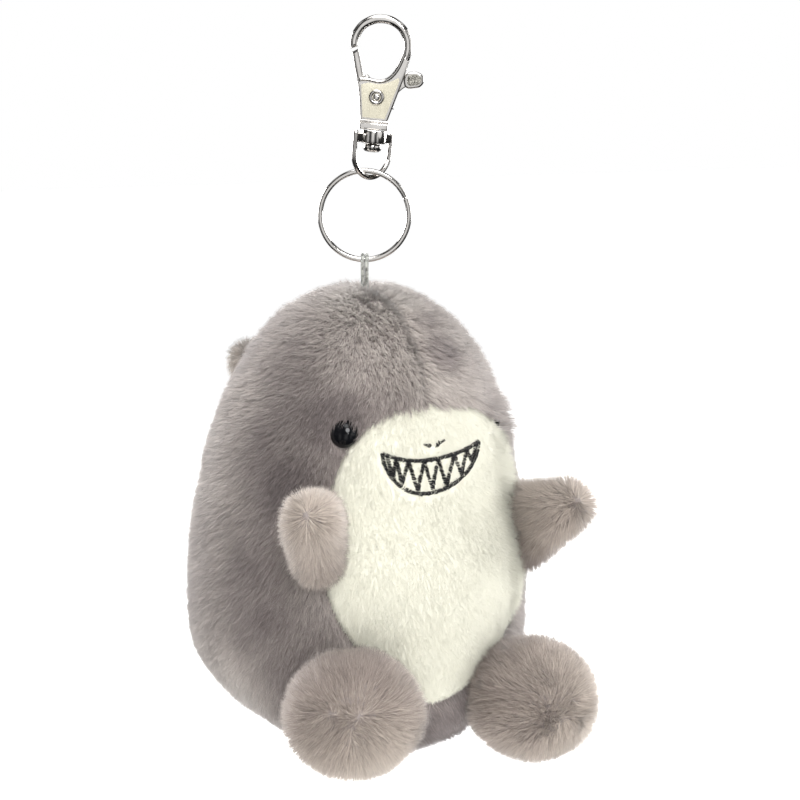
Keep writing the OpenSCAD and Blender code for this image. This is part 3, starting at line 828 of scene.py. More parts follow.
def grow_body_pile():
    pieces = []
    for index, skin in ((0, skins[0]), (1, skins[1]), (3, skins[3])):
        source = np.random.default_rng(100 + index)
        place, normal = scatter(skin, GREY_DENSITY, source)
        keep = clear_of_eyes(place)
        place, normal = place[keep], normal[keep]
        comb = body_comb(place)
        length = GREY_LENGTH * (1 + 0.16 * soft_noise(place, 6 * MM, 11))
        from_crown = np.linalg.norm(place - CROWN, axis=1)
        lift = 0.5 + 0.1 * soft_noise(place, 8 * MM, 12) - 0.16 * smooth_step(1.3 - from_crown / (26 * MM))
        from_eye = place - np.array(EYES["left"][0])
        ring = smooth_step((6.5 * MM - np.linalg.norm(from_eye, axis=1)) / (2.5 * MM))
        length = length * (1 + 0.5 * ring)
        lift = lift + 0.3 * ring
        # The patches' painted light and shade shift the pile's tone here
        middle = 3.3 + shaded_and_brushed(place)
        tone = tone_of(place, source, middle, 0.95, 1.25, len(GREY_PILE))
        pieces += grow(skin.name + "_pile", place, normal, comb, length, lift, tone, GREY_WIDTH,
                       GREY_PILE, source)
    return pieces


GREY_DENSITY = 23 * 1e6
WHITE_DENSITY = 32 * 1e6
GREY_WIDTH = 0.14 * MM
WHITE_WIDTH = 0.13 * MM
GREY_LENGTH = 2.7 * MM
WHITE_LENGTH = 0.85 * MM

# ---------------------------------------------------------------- the grin's path

# The grin's two corners and its lowest spot: degrees round from the nose
GRIN_RIGHT, GRIN_LOWEST, GRIN_LEFT = -21.1, -3.7, 24.7
GRIN_DEPTHS = 30.6, 30.2
GRIN_DROP = 8.9
GRIN_SAG = 2.1
# Where the zigzag of the teeth touches the upper line, and its points between those
TOOTH_ROOTS = (-19.4, -15.7, -10.5, -3.7, 2.7, 10.5, 17.1, 23.5)
TOOTH_TIPS = (-16.9, -13.2, -6.9, -0.5, 6.1, 13.9, 19.6)
TOOTH_SHORT = (0.5, 0.8, 0.6, 0.8, 0.4, 0.6, 1.0)
THREAD_TOP = 0.5 * MM


def grin_depth(turn, drop, fullness):
    """How deep below the crown a line from corner to corner runs, sinking most at the lowest spot."""
    corner = GRIN_RIGHT if turn < GRIN_LOWEST else GRIN_LEFT
    off = min(1, (turn - GRIN_LOWEST) / (corner - GRIN_LOWEST))
    level = np.interp(turn, (GRIN_RIGHT, GRIN_LEFT), GRIN_DEPTHS)
    return level + drop * (1 - off ** 2) ** fullness


def grin_low(turn):
    return grin_depth(turn, GRIN_DROP, 0.6)


def grin_high(turn):
    return grin_depth(turn, GRIN_SAG, 1)


def even_path(spots, step):
    """Points a fixed distance apart along a run of face spots, on the skin, with normals."""
    dense = []
    for (t0, d0), (t1, d1) in zip(spots[:-1], spots[1:]):
        for k in range(6):
            dense.append((t0 + (t1 - t0) * k / 6, d0 + (d1 - d0) * k / 6))
    dense.append(spots[-1])
    hits = [on_face(*spot) for spot in dense]
    points = np.array([h[0] for h in hits])
    normals = np.array([h[1] for h in hits])
    run = np.concatenate([[0], np.cumsum(np.linalg.norm(np.diff(points, axis=0), axis=1))])
    count = max(2, int(run[-1] / step) + 1)
    at = np.linspace(0, run[-1], count)
    path = np.stack([np.interp(at, run, points[:, k]) for k in range(3)], axis=1)
    outward = unit_rows(np.stack([np.interp(at, run, normals[:, k]) for k in range(3)], axis=1))
    return path, outward


def on_skin(run):
    return [(math.radians(turn), depth * MM) for turn, depth in run]


def grin_paths():
    middle = (GRIN_RIGHT + GRIN_LEFT) / 2
    half = (GRIN_LEFT - GRIN_RIGHT) / 2
    turns = [middle - half * math.cos(math.pi * i / 28) for i in range(29)]
    zigzag = [(TOOTH_ROOTS[0], grin_high(TOOTH_ROOTS[0]))]
    for root, tip, short in zip(TOOTH_ROOTS[1:], TOOTH_TIPS, TOOTH_SHORT):
        zigzag += [(tip, grin_low(tip) - short), (root, grin_high(root) + 0.1)]
    lower = on_skin((t, grin_low(t)) for t in turns)
    upper = on_skin((t, grin_high(t)) for t in turns)
    return [(lower, 0.8 * MM), (upper, 0.8 * MM)], [(on_skin(zigzag), 0.8 * MM)]


STITCH_SLANT = 0.35
SKIPPED = 0.1
ARCH = 7
THREAD_SIDES = 5


def stitch_row(path, outward, width, source):
    """Satin stitches side by side along a path: each a low arch of thread across it."""
    along = unit_rows(np.gradient(path, axis=0))
    across = unit_rows(np.cross(outward, along))
    verts, quads = [], []
    arc = np.linspace(-1, 1, ARCH)
    sides = THREAD_SIDES
    for p, n, a, c in zip(path, outward, along, across):
        if source.random() < SKIPPED:
            continue
        thread = source.uniform(0.06, 0.1) * MM
        reach = width / 2 * source.uniform(0.65, 1.2)
        tilt = c * math.cos(STITCH_SLANT) + a * math.sin(STITCH_SLANT) * source.uniform(0.2, 1.9)
        p = p + c * source.normal(0, 0.045 * MM)
        top = THREAD_TOP * source.uniform(0.85, 1.15)
        line = np.array([p + tilt * reach * s + n * (top * (1 - 0.85 * s ** 4)) for s in arc])
        base = len(verts)
        for k, q in enumerate(line):
            ahead = line[min(k + 1, ARCH - 1)] - line[max(k - 1, 0)]
            ahead = ahead / np.linalg.norm(ahead)
            u = np.cross(ahead, n)
            u /= np.linalg.norm(u)
            w = np.cross(ahead, u)
            for j in range(sides):
                angle = 2 * math.pi * j / sides
                verts.append(q + thread * (math.cos(angle) * u + math.sin(angle) * w))
        for k in range(ARCH - 1):
            for j in range(sides):
                m = (j + 1) % sides
                quads.append((base + k * sides + j, base + (k + 1) * sides + j,
                              base + (k + 1) * sides + m, base + k * sides + m))
    return verts, quads


def stitched(name, runs, spacing, source):
    verts, quads = [], []
    for spots, width in runs:
        path, outward = even_path(spots, spacing)
        v, q = stitch_row(path, outward, width, source)
        start = len(verts)
        verts += v
        quads += [tuple(i + start for i in quad) for quad in q]
    return new_object(name, np.array(verts), quads)


STITCH_SPACING = 0.16 * MM
OUTLINE_RUNS, TEETH_RUNS = grin_paths()


def nostril(dot, tail, thick, thin):
    """A short thick dash of stitches and its thinner tail, from spots in degrees round and mm down."""
    start, end = ((math.radians(t), d * MM) for t, d in (dot, tail))
    middle = tuple(0.6 * a + 0.4 * b for a, b in zip(start, end))
    return [([start, middle], thick * MM), ([middle, end], thin * MM)]


NOSTRIL_RUNS = (nostril((-1.0, 29.6), (-4.0, 29.2), 0.75, 0.35)
                + nostril((1.6, 29.6), (5.4, 28.8), 0.9, 0.4))


def stitch_tree():
    """A search tree over all the lines of stitches, and each spot's width."""
    marks = []
    for spots, width in OUTLINE_RUNS + TEETH_RUNS + NOSTRIL_RUNS:
        path, _ = even_path(spots, 0.25 * MM)
        marks += [(p, width) for p in path]
    return spot_tree([p for p, _ in marks]), np.array([w for _, w in marks])


def make_face():
    source = np.random.default_rng(5)
    outline = stitched("grin_outline", OUTLINE_RUNS, STITCH_SPACING, source)
    zigzag = stitched("grin_teeth", TEETH_RUNS, STITCH_SPACING, source)
    nostrils = stitched("nostrils", NOSTRIL_RUNS, STITCH_SPACING, source)
    dress(outline, THREAD, "plush_body", "black_thread", "mouth_stitching")
    dress(zigzag, THREAD, "plush_body", "black_thread")
    dress(nostrils, THREAD, "plush_body", "black_thread", "nostril_stitching")


def grow_white_pile():
    source = np.random.default_rng(200)
    skin = skins[2]
    place, normal = scatter(skin, WHITE_DENSITY, source)
    keep = clear_of_eyes(place)
    place, normal = place[keep], normal[keep]
    tree, widths = stitch_tree()
    found = [tree.find(p) for p in place]
    gap = np.array([f[2] for f in found]) - widths[[f[1] for f in found]] / 2
    keep = gap > source.normal(-0.06, 0.12, len(gap)) * MM
    place, normal, gap = place[keep], normal[keep], gap[keep]
    comb = np.zeros_like(place)
    comb[:, 2] = -1
    comb += soft_vectors(place, 9 * MM, 31) * 0.35
    comb += soft_vectors(place, 2.4 * MM, 34) * 0.1
    forward = CORD.y + SET_BACK * (CROWN_Z - place[:, 2]) - place[:, 1]
    turn = np.degrees(np.arctan2(place[:, 0] - MIDLINE_X, forward))
    fringe = smooth_step((turn - 34) / 10)
    length = WHITE_LENGTH * (0.5 + 0.5 * smooth_step(gap / (1.2 * MM))) * (1 + 1.7 * fringe)
    lift = 0.45 + 0.06 * soft_noise(place, 4 * MM, 37) + 0.3 * fringe
    tone = np.clip(np.round(1 + 0.8 * soft_noise(place, 5 * MM, 38) + source.normal(0, 0.6, len(place))),
                   0, 2).astype(int)
    return grow("white_belly_pile", place, normal, comb, length, lift, tone, WHITE_WIDTH, WHITE_PILE,
                source, clump=0.05, clump_size=6, ruffle=0.14, shade_soft=0.96)


body_pile = grow_body_pile()
white_pile = grow_white_pile()
make_face()
FILLING = mottled("fibre_filling", (0.70, 0.70, 0.72), (0.88, 0.88, 0.90), 300, 0.95, 0.8, 1800)
SKIN_SLOTS = ["grey_pile", "grey_pile", "white_pile", "grey_pile"]
for skin, node, slot in zip(skins, PANEL_NODES, SKIN_SLOTS):
    thicken(skin)
    dress(skin, WHITE_HIDE if slot == "white_pile" else GREY_HIDE, "plush_body", slot, node)
dress(body_filling, FILLING, "plush_body", "fibre_filling", "body_stuffing")
for piece in body_pile:
    stand_for(piece, "plush_body", "grey_pile")
for piece in white_pile:
    stand_for(piece, "plush_body", "white_pile")

# ---------------------------------------------------------------- limbs and fins


def limb_root(points):
    """Where a limb meets the body, and the way it stands out from there."""
    near = [BODY_TREE.find_nearest(Vector(p)) for p in points]
    gaps = np.array([n[3] for n in near])
    spots = np.array([n[0] for n in near])
    close = gaps < gaps.min() + 1.2 * MM
    root = spots[close].mean(axis=0)
    out = points.mean(axis=0) - root
    return root, out / np.linalg.norm(out), gaps, spots


def seat_on_body(ob):
    """Draws a limb's open end down onto the body, so that no gap shows where it is sewn on."""
    points = vertex_points(ob)
    root, out, gaps, spots = limb_root(points)
    pull = smooth_step((3.0 * MM - gaps) / (1.5 * MM))
    toward = unit_rows(spots - points)
    points += toward * ((gaps + 1.3 * MM) * pull)[:, None]
    set_points(ob, points)
    return root, out


SEAM_DEPTH = 0.3 * MM
LIMB_FILLING_DEPTH = 1.4 * MM


def make_limb(name, nodes, voxel, cap, seam_normal, seam_at, seam_reach, slide=None):
    """A stuffed limb: its skin, swollen between its seam and the body, and where it is sewn on.

    slide moves its sewn end round the body.
    """
    skin = blank_from_nodes(name + "_skin", nodes, voxel, 5)
    points = vertex_points(skin)
    offset = (points - seam_at) @ seam_normal
    _, _, gaps, _ = limb_root(points)
    pins = np.maximum(smooth_step(1 - np.abs(offset) / (1.6 * MM)), smooth_step((3 * MM - gaps) / (2 * MM)))
    inflate(skin, pins, cap)
    divide(skin)
    points = vertex_points(skin)
    normals = vertex_normals(skin)
    offset = np.abs((points - seam_at) @ seam_normal)
    root, out, _, _ = limb_root(points)
    front = points[((points - root) @ out).argmax()]
    nearby = smooth_step(1.5 - np.linalg.norm(points - front, axis=1) / seam_reach)
    points -= normals * (smooth_step(1 - offset / (1.3 * MM)) * nearby * SEAM_DEPTH)[:, None]
    if slide is not None:
        share = smooth_step(1 - ((points - root) @ out) / (12 * MM))
        points += np.outer(share, slide)
    set_points(skin, points)
    root, out = seat_on_body(skin)
    return skin, root, out


def blend_to(ob):
    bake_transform(ob)


def limb_comb(place, seam_normal, seam_at, front, seam_reach, drop):
    """The pile lies away from the limb's end, and to either side of the seam there."""
    side = np.tanh((place - seam_at) @ seam_normal / (1.2 * MM))
    away = place - front
    nearby = smooth_step(1.5 - np.linalg.norm(away, axis=1) / seam_reach)
    comb = np.outer(side * nearby, seam_normal) * 1.2 + unit_rows(away)
    comb[:, 2] -= drop
    return comb + soft_vectors(place, 5 * MM, 41) * 0.55 + soft_vectors(place, 2.2 * MM, 44) * 0.4


def dress_limb(name, nodes, body, skin, root, out, fill_node, seam_normal, seam_at, middle, seed,
               seam_reach, painted_light_way, drop=0.2, length=2.6 * MM):
    """Filling, pile and cloth of a limb. Its pile is painted paler along the given vector, by that many tones
    in 10 mm: painted light on the side the light falls on.
    """
    points = vertex_points(skin)
    front = points[((points - root) @ out).argmax()]
    filling = inset_copy(skin, name + "_filling", LIMB_FILLING_DEPTH)
    dress(filling, FILLING, body, "fibre_filling", fill_node)
    source = np.random.default_rng(seed)
    place, normal = scatter(skin, GREY_DENSITY * 1.05, source)
    comb = limb_comb(place, seam_normal, seam_at, front, seam_reach, drop)
    size = length * (1 + 0.15 * soft_noise(place, 5 * MM, seed))
    lift = 0.6 + 0.12 * soft_noise(place, 5 * MM, seed + 1)
    # Painted light: the tone rises along the given vector
    middle = middle + np.clip((place - points.mean(axis=0)) @ painted_light_way / (10 * MM), -1.5, 1.5)
    tone = tone_of(place, source, middle, 0.95, 0.9, len(GREY_PILE))
    pile = grow(name + "_pile", place, normal, comb, size, lift, tone, GREY_WIDTH, LIMB_PILE, source,
                clump=0.2, clump_size=8)
    for piece in pile:
        blend_to(piece)
    if len(nodes) == 1:
        parts = [skin]
    else:
        side = ((points - seam_at) @ seam_normal < 0).astype(int)
        parts = split_by(skin, side, [name + "_upper", name + "_sole"])
    for part, node in zip(parts, nodes):
        thicken(part)
        part.data.materials.clear()
        part.data.materials.append(GREY_HIDE)
        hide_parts(node)
        blend_to(part)


_, VIEW_RIGHT, VIEW_UP = (np.array(v) for v in view_axes(AZIMUTH, ELEVATION))
UP = np.array([0.0, 0.0, 1.0])


def node_mid(node):
    return np.array(box_mid(node))


# The left flipper is sewn on further round the body
LEFT_FLIPPER_SLIDE = np.array([4.0, 4.1, 0]) * MM
FIN_RAISED = 2.8 * MM


def make_flippers():
    for side, sign in (("left", 1), ("right", -1)):
        name = f"flipper_{side}"
        way = np.array([sign * 9.0, -15.7, -4.0])
        way /= np.linalg.norm(way)
        seam_normal = np.cross(way, UP)
        seam_normal /= np.linalg.norm(seam_normal)
        middle = node_mid(name)
        cap = (0.7 if side == "right" else 1.3) * MM
        skin, root, out = make_limb(name, [name, name + "_stuffing"], 0.8 * MM, cap, seam_normal, middle,
                                    4 * MM, LEFT_FLIPPER_SLIDE if side == "left" else None)
        # Painted light and shade: the near, right flipper's pile is set paler than the far, left one's, and
        # both grow paler upward
        dress_limb(name, [name], name, skin, root, out, name + "_stuffing", seam_normal, middle,
                   3.9 if side == "right" else 3.1, 300 + sign, 4 * MM,
                   UP * (0.4 if side == "right" else 1.3), length=2.9 * MM)


def make_feet():
    tilted = VIEW_UP * math.cos(math.radians(48)) - VIEW_RIGHT * math.sin(math.radians(48))
    for side, seam_normal in (("left", -tilted), ("right", UP)):
        name = f"foot_{side}"
        middle = node_mid(name)
        middle[2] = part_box(name)[0].z
        middle += VIEW_UP * 4.6 * MM if side == "right" else (VIEW_RIGHT - VIEW_UP) * 1.5 * MM
        skin, root, out = make_limb(name, [name, name + "_sole", name + "_stuffing"], 1.0 * MM, 0.8 * MM,
                                    seam_normal, middle, 9 * MM)
        # Painted light: the feet's pile grows paler lower down, where the floor's light falls, and toward the
        # view's right
        dress_limb(name, [name, name + "_sole"], name, skin, root, out, name + "_stuffing", seam_normal,
                   middle, 3.5, 400 + len(side), 9 * MM,
                   VIEW_RIGHT * 0.4 - UP * 1.5 if side == "right" else VIEW_RIGHT * 1.2 - UP * 1.0,
                   drop=0.1)


def make_fins():
    across = np.array([1.0, 0.0, 0.0])
    for name in ("dorsal_fin", "tail_fin"):
        middle = node_mid(name)
        skin, root, out = make_limb(name, [name, name + "_stuffing"], 0.9 * MM, 0.7 * MM, across, middle,
                                    6 * MM)
        if name == "dorsal_fin":
            points = vertex_points(skin)
            points += UP * (FIN_RAISED * smooth_step(((points - root) @ out) / (8 * MM)))[:, None]
            set_points(skin, points)
        dress_limb(name, [name], name, skin, root, out, name + "_stuffing", across, middle,
                   4.2 if name == "dorsal_fin" else 3.0, 500 + len(name), 6 * MM, UP * 0.0, drop=0.4)


make_flippers()
make_feet()
make_fins()

# ---------------------------------------------------------------- eyes


def turned(name, profile, segments, origin, axis):
    """A solid of revolution: profile is (radius, height) from one pole to the other."""
    rings, verts, quads, triangles = [], [], [], []
    axis = Vector(axis).normalized()
    turn = axis.to_track_quat("Z", "Y").to_matrix()
    for radius, height in profile:
        if radius == 0:
            rings.append([len(verts)])
            verts.append(Vector(origin) + turn @ Vector((0, 0, height)))
            continue
        ring = []
        for k in range(segments):
            angle = 2 * math.pi * k / segments
            ring.append(len(verts))
            spot = Vector((radius * math.cos(angle), radius * math.sin(angle), height))
            verts.append(Vector(origin) + turn @ spot)
        rings.append(ring)
    for low, high in zip(rings[:-1], rings[1:]):
        for k in range(segments):
            m = (k + 1) % segments
            if len(low) == 1:
                triangles.append((low[0], high[m], high[k]))
            elif len(high) == 1:
                triangles.append((low[k], low[m], high[0]))
            else:
                quads.append((low[k], low[m], high[m], high[k]))
    return new_object(name, np.array([tuple(v) for v in verts]), quads, triangles)


# How far each eye stands out beyond the bare fabric: the left one is sunk in the pile
EYE_PROUD = {"left": -1.1 * MM, "right": 0.1 * MM}


EYE_RADIUS = 2.95 * MM
EYE_DOME = 2.35 * MM


def make_eyes():
    radius, dome = EYE_RADIUS, EYE_DOME
    for side in ("left", "right"):
        node = f"eye_{side}"
        centre, out = EYES[side]
        heights = [out.dot(Vector(v.co) - centre) for v in NODES[node].data.vertices]
        base = centre + out * (max(heights) - dome)
        shank_end = min(heights) - max(heights) + dome
        profile = [(0, shank_end), (0.85 * MM, shank_end), (0.9 * MM, shank_end + 0.1 * MM),
                   (0.9 * MM, -0.7 * MM), (radius * 0.9, -0.35 * MM), (radius, -0.15 * MM)]
        steps = 14
        for k in range(steps):
            angle = math.pi / 2 * k / steps
            profile.append((radius * math.cos(angle) ** 0.92, dome * math.sin(angle)))
        profile.append((0, dome))
        eye = turned(f"eye_dome_{side}", profile, 48, base + out * EYE_PROUD[side], out)
        dress(eye, EYE, "plush_body", "eye_plastic", node)


make_eyes()

# ---------------------------------------------------------------- hardware and cord


def tube_mesh(path, outline, closed, start_side):
    """Sweeps an outline along a path; start_side holds it upright."""
    n, k = len(path), len(outline)
    path = np.asarray(path)
    if closed:
        along = unit_rows(np.roll(path, -1, axis=0) - np.roll(path, 1, axis=0))
    else:
        along = unit_rows(np.gradient(path, axis=0))
    side = np.asarray(start_side)
    if side.ndim == 1:
        side = np.tile(side, (n, 1))
    u = unit_rows(side - along * (side * along).sum(axis=1, keepdims=True))
    w = np.cross(along, u)
    outline = np.asarray(outline)
    verts = (path[:, None, :] + u[:, None, :] * outline[None, :, 0, None]
             + w[:, None, :] * outline[None, :, 1, None]).reshape(-1, 3)
    quads = []
    for i in range(n if closed else n - 1):
        j = (i + 1) % n
        for m in range(k):
            o = (m + 1) % k
            quads.append((i * k + m, i * k + o, j * k + o, j * k + m))
    return verts, quads


def circle(radius, count):
    return [(radius * math.cos(2 * math.pi * j / count), radius * math.sin(2 * math.pi * j / count))
            for j in range(count)]


HARDWARE_RIGHT = np.array([math.cos(HARDWARE_TURN), math.sin(HARDWARE_TURN), 0.0])
HARDWARE_BACK = np.array([math.sin(HARDWARE_TURN), -math.cos(HARDWARE_TURN), 0.0])


def rounded_box(width, height, corner, steps=3):
    spots = []
    for cx, cy, start in ((1, 1, 0), (-1, 1, 90), (-1, -1, 180), (1, -1, 270)):
        for k in range(steps + 1):
            angle = math.radians(start + 90 * k / steps)
            spots.append((cx * (width / 2 - corner) + corner * math.cos(angle),
                          cy * (height / 2 - corner) + corner * math.sin(angle)))
    return spots


def make_ring():
    """A split ring: two turns of one band side by side, stepping over where its ends lie."""
    low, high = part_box("split_ring")
    centre = np.array((low + high) / 2)
    outer = (high.z - low.z) / 2
    thick = 1.1 * MM
    radius = outer - thick / 2
    half_apart = 0.4 * MM
    steps = 180
    start = math.radians(24)
    path, sides = [], []
    for i in range(2 * steps + 1):
        turn = 2 * math.pi * i / steps
        angle = start + turn
        share = (turn - 2 * math.pi) / math.radians(26)
        shift = half_apart * math.tanh(share * 1.6)
        out = HARDWARE_RIGHT * math.cos(angle) + UP * math.sin(angle)
        path.append(centre + out * radius + HARDWARE_BACK * shift)
        sides.append(out)
    verts, quads = tube_mesh(path, rounded_box(thick, 0.76 * MM, 0.35 * MM), False, sides)
    ob = new_object("split_ring_coil", verts, quads)
    bm = bmesh.new()
    bm.from_mesh(ob.data)
    bmesh.ops.holes_fill(bm, edges=[e for e in bm.edges if e.is_boundary], sides=0)
    bmesh.ops.recalc_face_normals(bm, faces=bm.faces)
    bm.to_mesh(ob.data)
    bm.free()
    smooth_faces(ob.data)
    dress(ob, NICKEL, "ring", "nickel_plate", "split_ring")


def make_cord():
    """Two loops of twisted cord over the ring's band and down into the crown."""
    ring_low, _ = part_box("split_ring")
    top = np.array([CORD.x, CORD.y, ring_low.z])
    over, neck, radius = 1.5 * MM, 0.5 * MM, 0.42 * MM
    bottom = CROWN_Z - 3.6 * MM - ring_low.z
    profile = [(over * math.cos(math.radians(12 * i)), over * math.sin(math.radians(12 * i)))
               for i in range(16)]
    legs = 30
    for i in range(1, legs + 1):
        share = i / legs
        ease = (1 - math.cos(math.pi * min(1, share * 2))) / 2
        profile.append((-(over + (neck - over) * ease), bottom * share))
    for i in range(1, 6):
        angle = math.radians(30 * i)
        profile.append((-neck * math.cos(angle), bottom - neck * math.sin(angle)))
    for i in range(legs):
        share = 1 - i / legs
        ease = (1 - math.cos(math.pi * min(1, share * 2))) / 2
        profile.append((over + (neck - over) * ease, bottom * share))
    verts, quads = [], []
    for side in (-1, 1):
        line = np.array([top + HARDWARE_RIGHT * side * (radius + 0.03 * MM) - HARDWARE_BACK * p[0] + UP * p[1]
                         for p in profile])
        ring = np.vstack([line, line[:1]])
        run = np.concatenate([[0], np.cumsum(np.linalg.norm(np.diff(ring, axis=0), axis=1))])
        count = 420
        at = np.linspace(0, run[-1], count, endpoint=False)
        fine = np.stack([np.interp(at, run, ring[:, k]) for k in range(3)], axis=1)
        along = unit_rows(np.roll(fine, -1, axis=0) - np.roll(fine, 1, axis=0))
        u = unit_rows(HARDWARE_RIGHT - along * (along @ HARDWARE_RIGHT)[:, None])
        w = np.cross(along, u)
        turns = round(run[-1] / (1.5 * MM))
        plies = 3
        for ply in range(plies):
            angle = side * 2 * math.pi * (turns * at / run[-1] + ply / plies)
            strand = fine + (u * np.cos(angle)[:, None] + w * np.sin(angle)[:, None]) * radius * 0.5
            v, q = tube_mesh(strand, circle(radius * 0.52, 8), True, HARDWARE_RIGHT + 0.01 * HARDWARE_BACK)
            start = len(verts)
            verts += v.tolist()
            quads += [tuple(i + start for i in quad) for quad in q]
    cord = new_object("cord_strands", np.array(verts), quads)
    dress(cord, CORD_YARN, "plush_body", "braided_cord", "cord_loop")


CLASP_UP = np.array(Vector(JOINTS["bail_swivel"]["axis"]).normalized())
CLASP_UP = CLASP_UP * np.sign(CLASP_UP[2])
CLASP_OUT = HARDWARE_BACK
CLASP_RIGHT = np.cross(CLASP_UP, CLASP_OUT)


def in_clasp(points, shift=(0, 0, 0)):
    """From the clasp's own frame (right, up, out; in mm) to the scene."""
    points = (np.asarray(points) + shift) * MM
    return points[:, :1] * CLASP_RIGHT + points[:, 1:2] * CLASP_UP + points[:, 2:] * CLASP_OUT


def plate(contour, thickness, edge, out=0.0):
    """A flat plate with rounded edges. The contour's corners are marked; its other spots are smooth."""
    curve = bpy.data.curves.new("contour", "CURVE")
    curve.dimensions = "2D"
    curve.fill_mode = "BOTH"
    curve.resolution_u = 10
    curve.extrude = thickness / 2 - edge
    curve.bevel_depth = edge
    curve.bevel_resolution = 4
    curve.offset = -edge
    spline = curve.splines.new("BEZIER")
    spline.bezier_points.add(len(contour) - 1)
    spline.use_cyclic_u = True
    for point, (x, z, kind) in zip(spline.bezier_points, contour):
        point.co = (x, z, 0)
        point.handle_left_type = point.handle_right_type = "VECTOR" if kind == "corner" else "AUTO"
    ob = linked("contour", curve)
    bpy.context.view_layer.update()
    mesh = bpy.data.meshes.new_from_object(ob.evaluated_get(bpy.context.evaluated_depsgraph_get()))
    bpy.data.objects.remove(ob)
    bpy.data.curves.remove(curve)
    made = linked("plate", mesh)
    bm = bmesh.new()
    bm.from_mesh(mesh)
    bmesh.ops.remove_doubles(bm, verts=bm.verts, dist=0.004)
    bmesh.ops.recalc_face_normals(bm, faces=bm.faces)
    bm.to_mesh(mesh)
    bm.free()
    set_points(made, in_clasp(vertex_points(made), (0, 0, out)))
    smooth_faces(mesh)
    return made


SHARP_FROM = math.radians(32)


def joined(name, parts, materials):
    """One object from several, each with its place in the list of materials."""
    bm = bmesh.new()
    for ob, slot in parts:
        before = len(bm.faces)
        bm.from_mesh(ob.data)
        bm.faces.ensure_lookup_table()
        for face in bm.faces[before:]:
            face.material_index = slot
    mesh = bpy.data.meshes.new(name)
    bm.to_mesh(mesh)
    bm.free()
    for ob, _ in parts:
        discard(ob)
    for material in materials:
        mesh.materials.append(material)
    smooth_faces(mesh)
    mesh.set_sharp_from_angle(angle=SHARP_FROM)
    return linked(name, mesh)


def spun(profile, foot, way, segments=40):
    """A turned piece in the clasp's frame: profile is (radius, height) in mm along a direction."""
    origin = in_clasp([foot])[0]
    axis = in_clasp([way])[0]
    return turned("spun", [(r * MM, h * MM) for r, h in profile], segments, origin, axis)


# Sizes and places on the clasp, in mm: the rivet, and how thick its body, cheeks and loop are
CORNER, SMOOTH = "corner", "smooth"
PIVOT = (0.0, -15.3)
BODY_T = 3.4
CHEEK_T = 0.9
LOOP_T = 2.4
RIM_R = 0.42


def clasp_loop():
    outer = [(-6.25, -5.75, CORNER), (-6.6, -4.4, SMOOTH), (-5.7, -1.35, SMOOTH), (-3.4, 0.95, SMOOTH),
             (0.0, 1.85, SMOOTH), (3.4, 0.9, SMOOTH), (5.75, -1.4, SMOOTH), (6.62, -4.5, SMOOTH),
             (6.15, -7.4, SMOOTH), (5.1, -11.2, CORNER)]
    inner = [(3.1, -10.2, CORNER), (4.15, -7.6, SMOOTH), (4.72, -4.6, SMOOTH), (4.05, -2.1, SMOOTH),
             (2.4, -0.55, SMOOTH), (0.0, 0.0, SMOOTH), (-2.4, -0.6, SMOOTH), (-4.05, -2.1, SMOOTH),
             (-4.72, -4.6, SMOOTH), (-4.6, -5.05, CORNER)]
    return plate(outer + inner, LOOP_T, 0.72)


def clasp_cheek(out):
    contour = [(-4.35, -12.35, CORNER), (-3.3, -11.9, CORNER), (-2.6, -10.8, SMOOTH), (-1.5, -11.45, SMOOTH),
               (0.2, -11.75, SMOOTH), (2.0, -11.1, SMOOTH), (3.3, -9.7, SMOOTH), (4.25, -7.3, CORNER),
               (5.1, -6.5, SMOOTH), (6.2, -7.3, CORNER), (5.3, -11.2, CORNER), (2.65, -20.25, CORNER),
               (-3.05, -20.25, CORNER), (-3.95, -14.0, SMOOTH)]
    return plate(contour, CHEEK_T, 0.3, out)


def cheek_face(out):
    """The satin face set inside the cheek's polished edge."""
    contour = [(-3.45, -12.95, CORNER), (-1.9, -12.45, SMOOTH), (0.2, -12.6, SMOOTH), (2.3, -12.0, SMOOTH),
               (4.2, -10.95, CORNER), (4.45, -11.2, SMOOTH), (2.1, -19.7, CORNER), (-2.6, -19.7, CORNER)]
    return plate(contour, 0.08, 0.03, out)


def cheek_rim(out):
    """The polished bead along the foot of the hook's opening."""
    spots = [(-3.6, -11.9), (-2.2, -11.75), (-0.9, -12.0), (0.3, -12.1), (1.5, -11.85), (2.7, -11.0),
             (3.7, -9.7), (4.5, -7.8), (5.0, -6.0)]
    path = in_clasp([(x, z, out) for x, z in spots])
    steps = np.linspace(0, len(spots) - 1, 50)
    fine = np.stack([np.interp(steps, np.arange(len(spots)), path[:, k]) for k in range(3)], axis=1)
    for _ in range(12):
        fine[1:-1] = (fine[:-2] + 2 * fine[1:-1] + fine[2:]) / 4
    verts, quads = tube_mesh(fine, circle(RIM_R * MM, 12), False, CLASP_OUT)
    return new_object("rim", verts, quads)


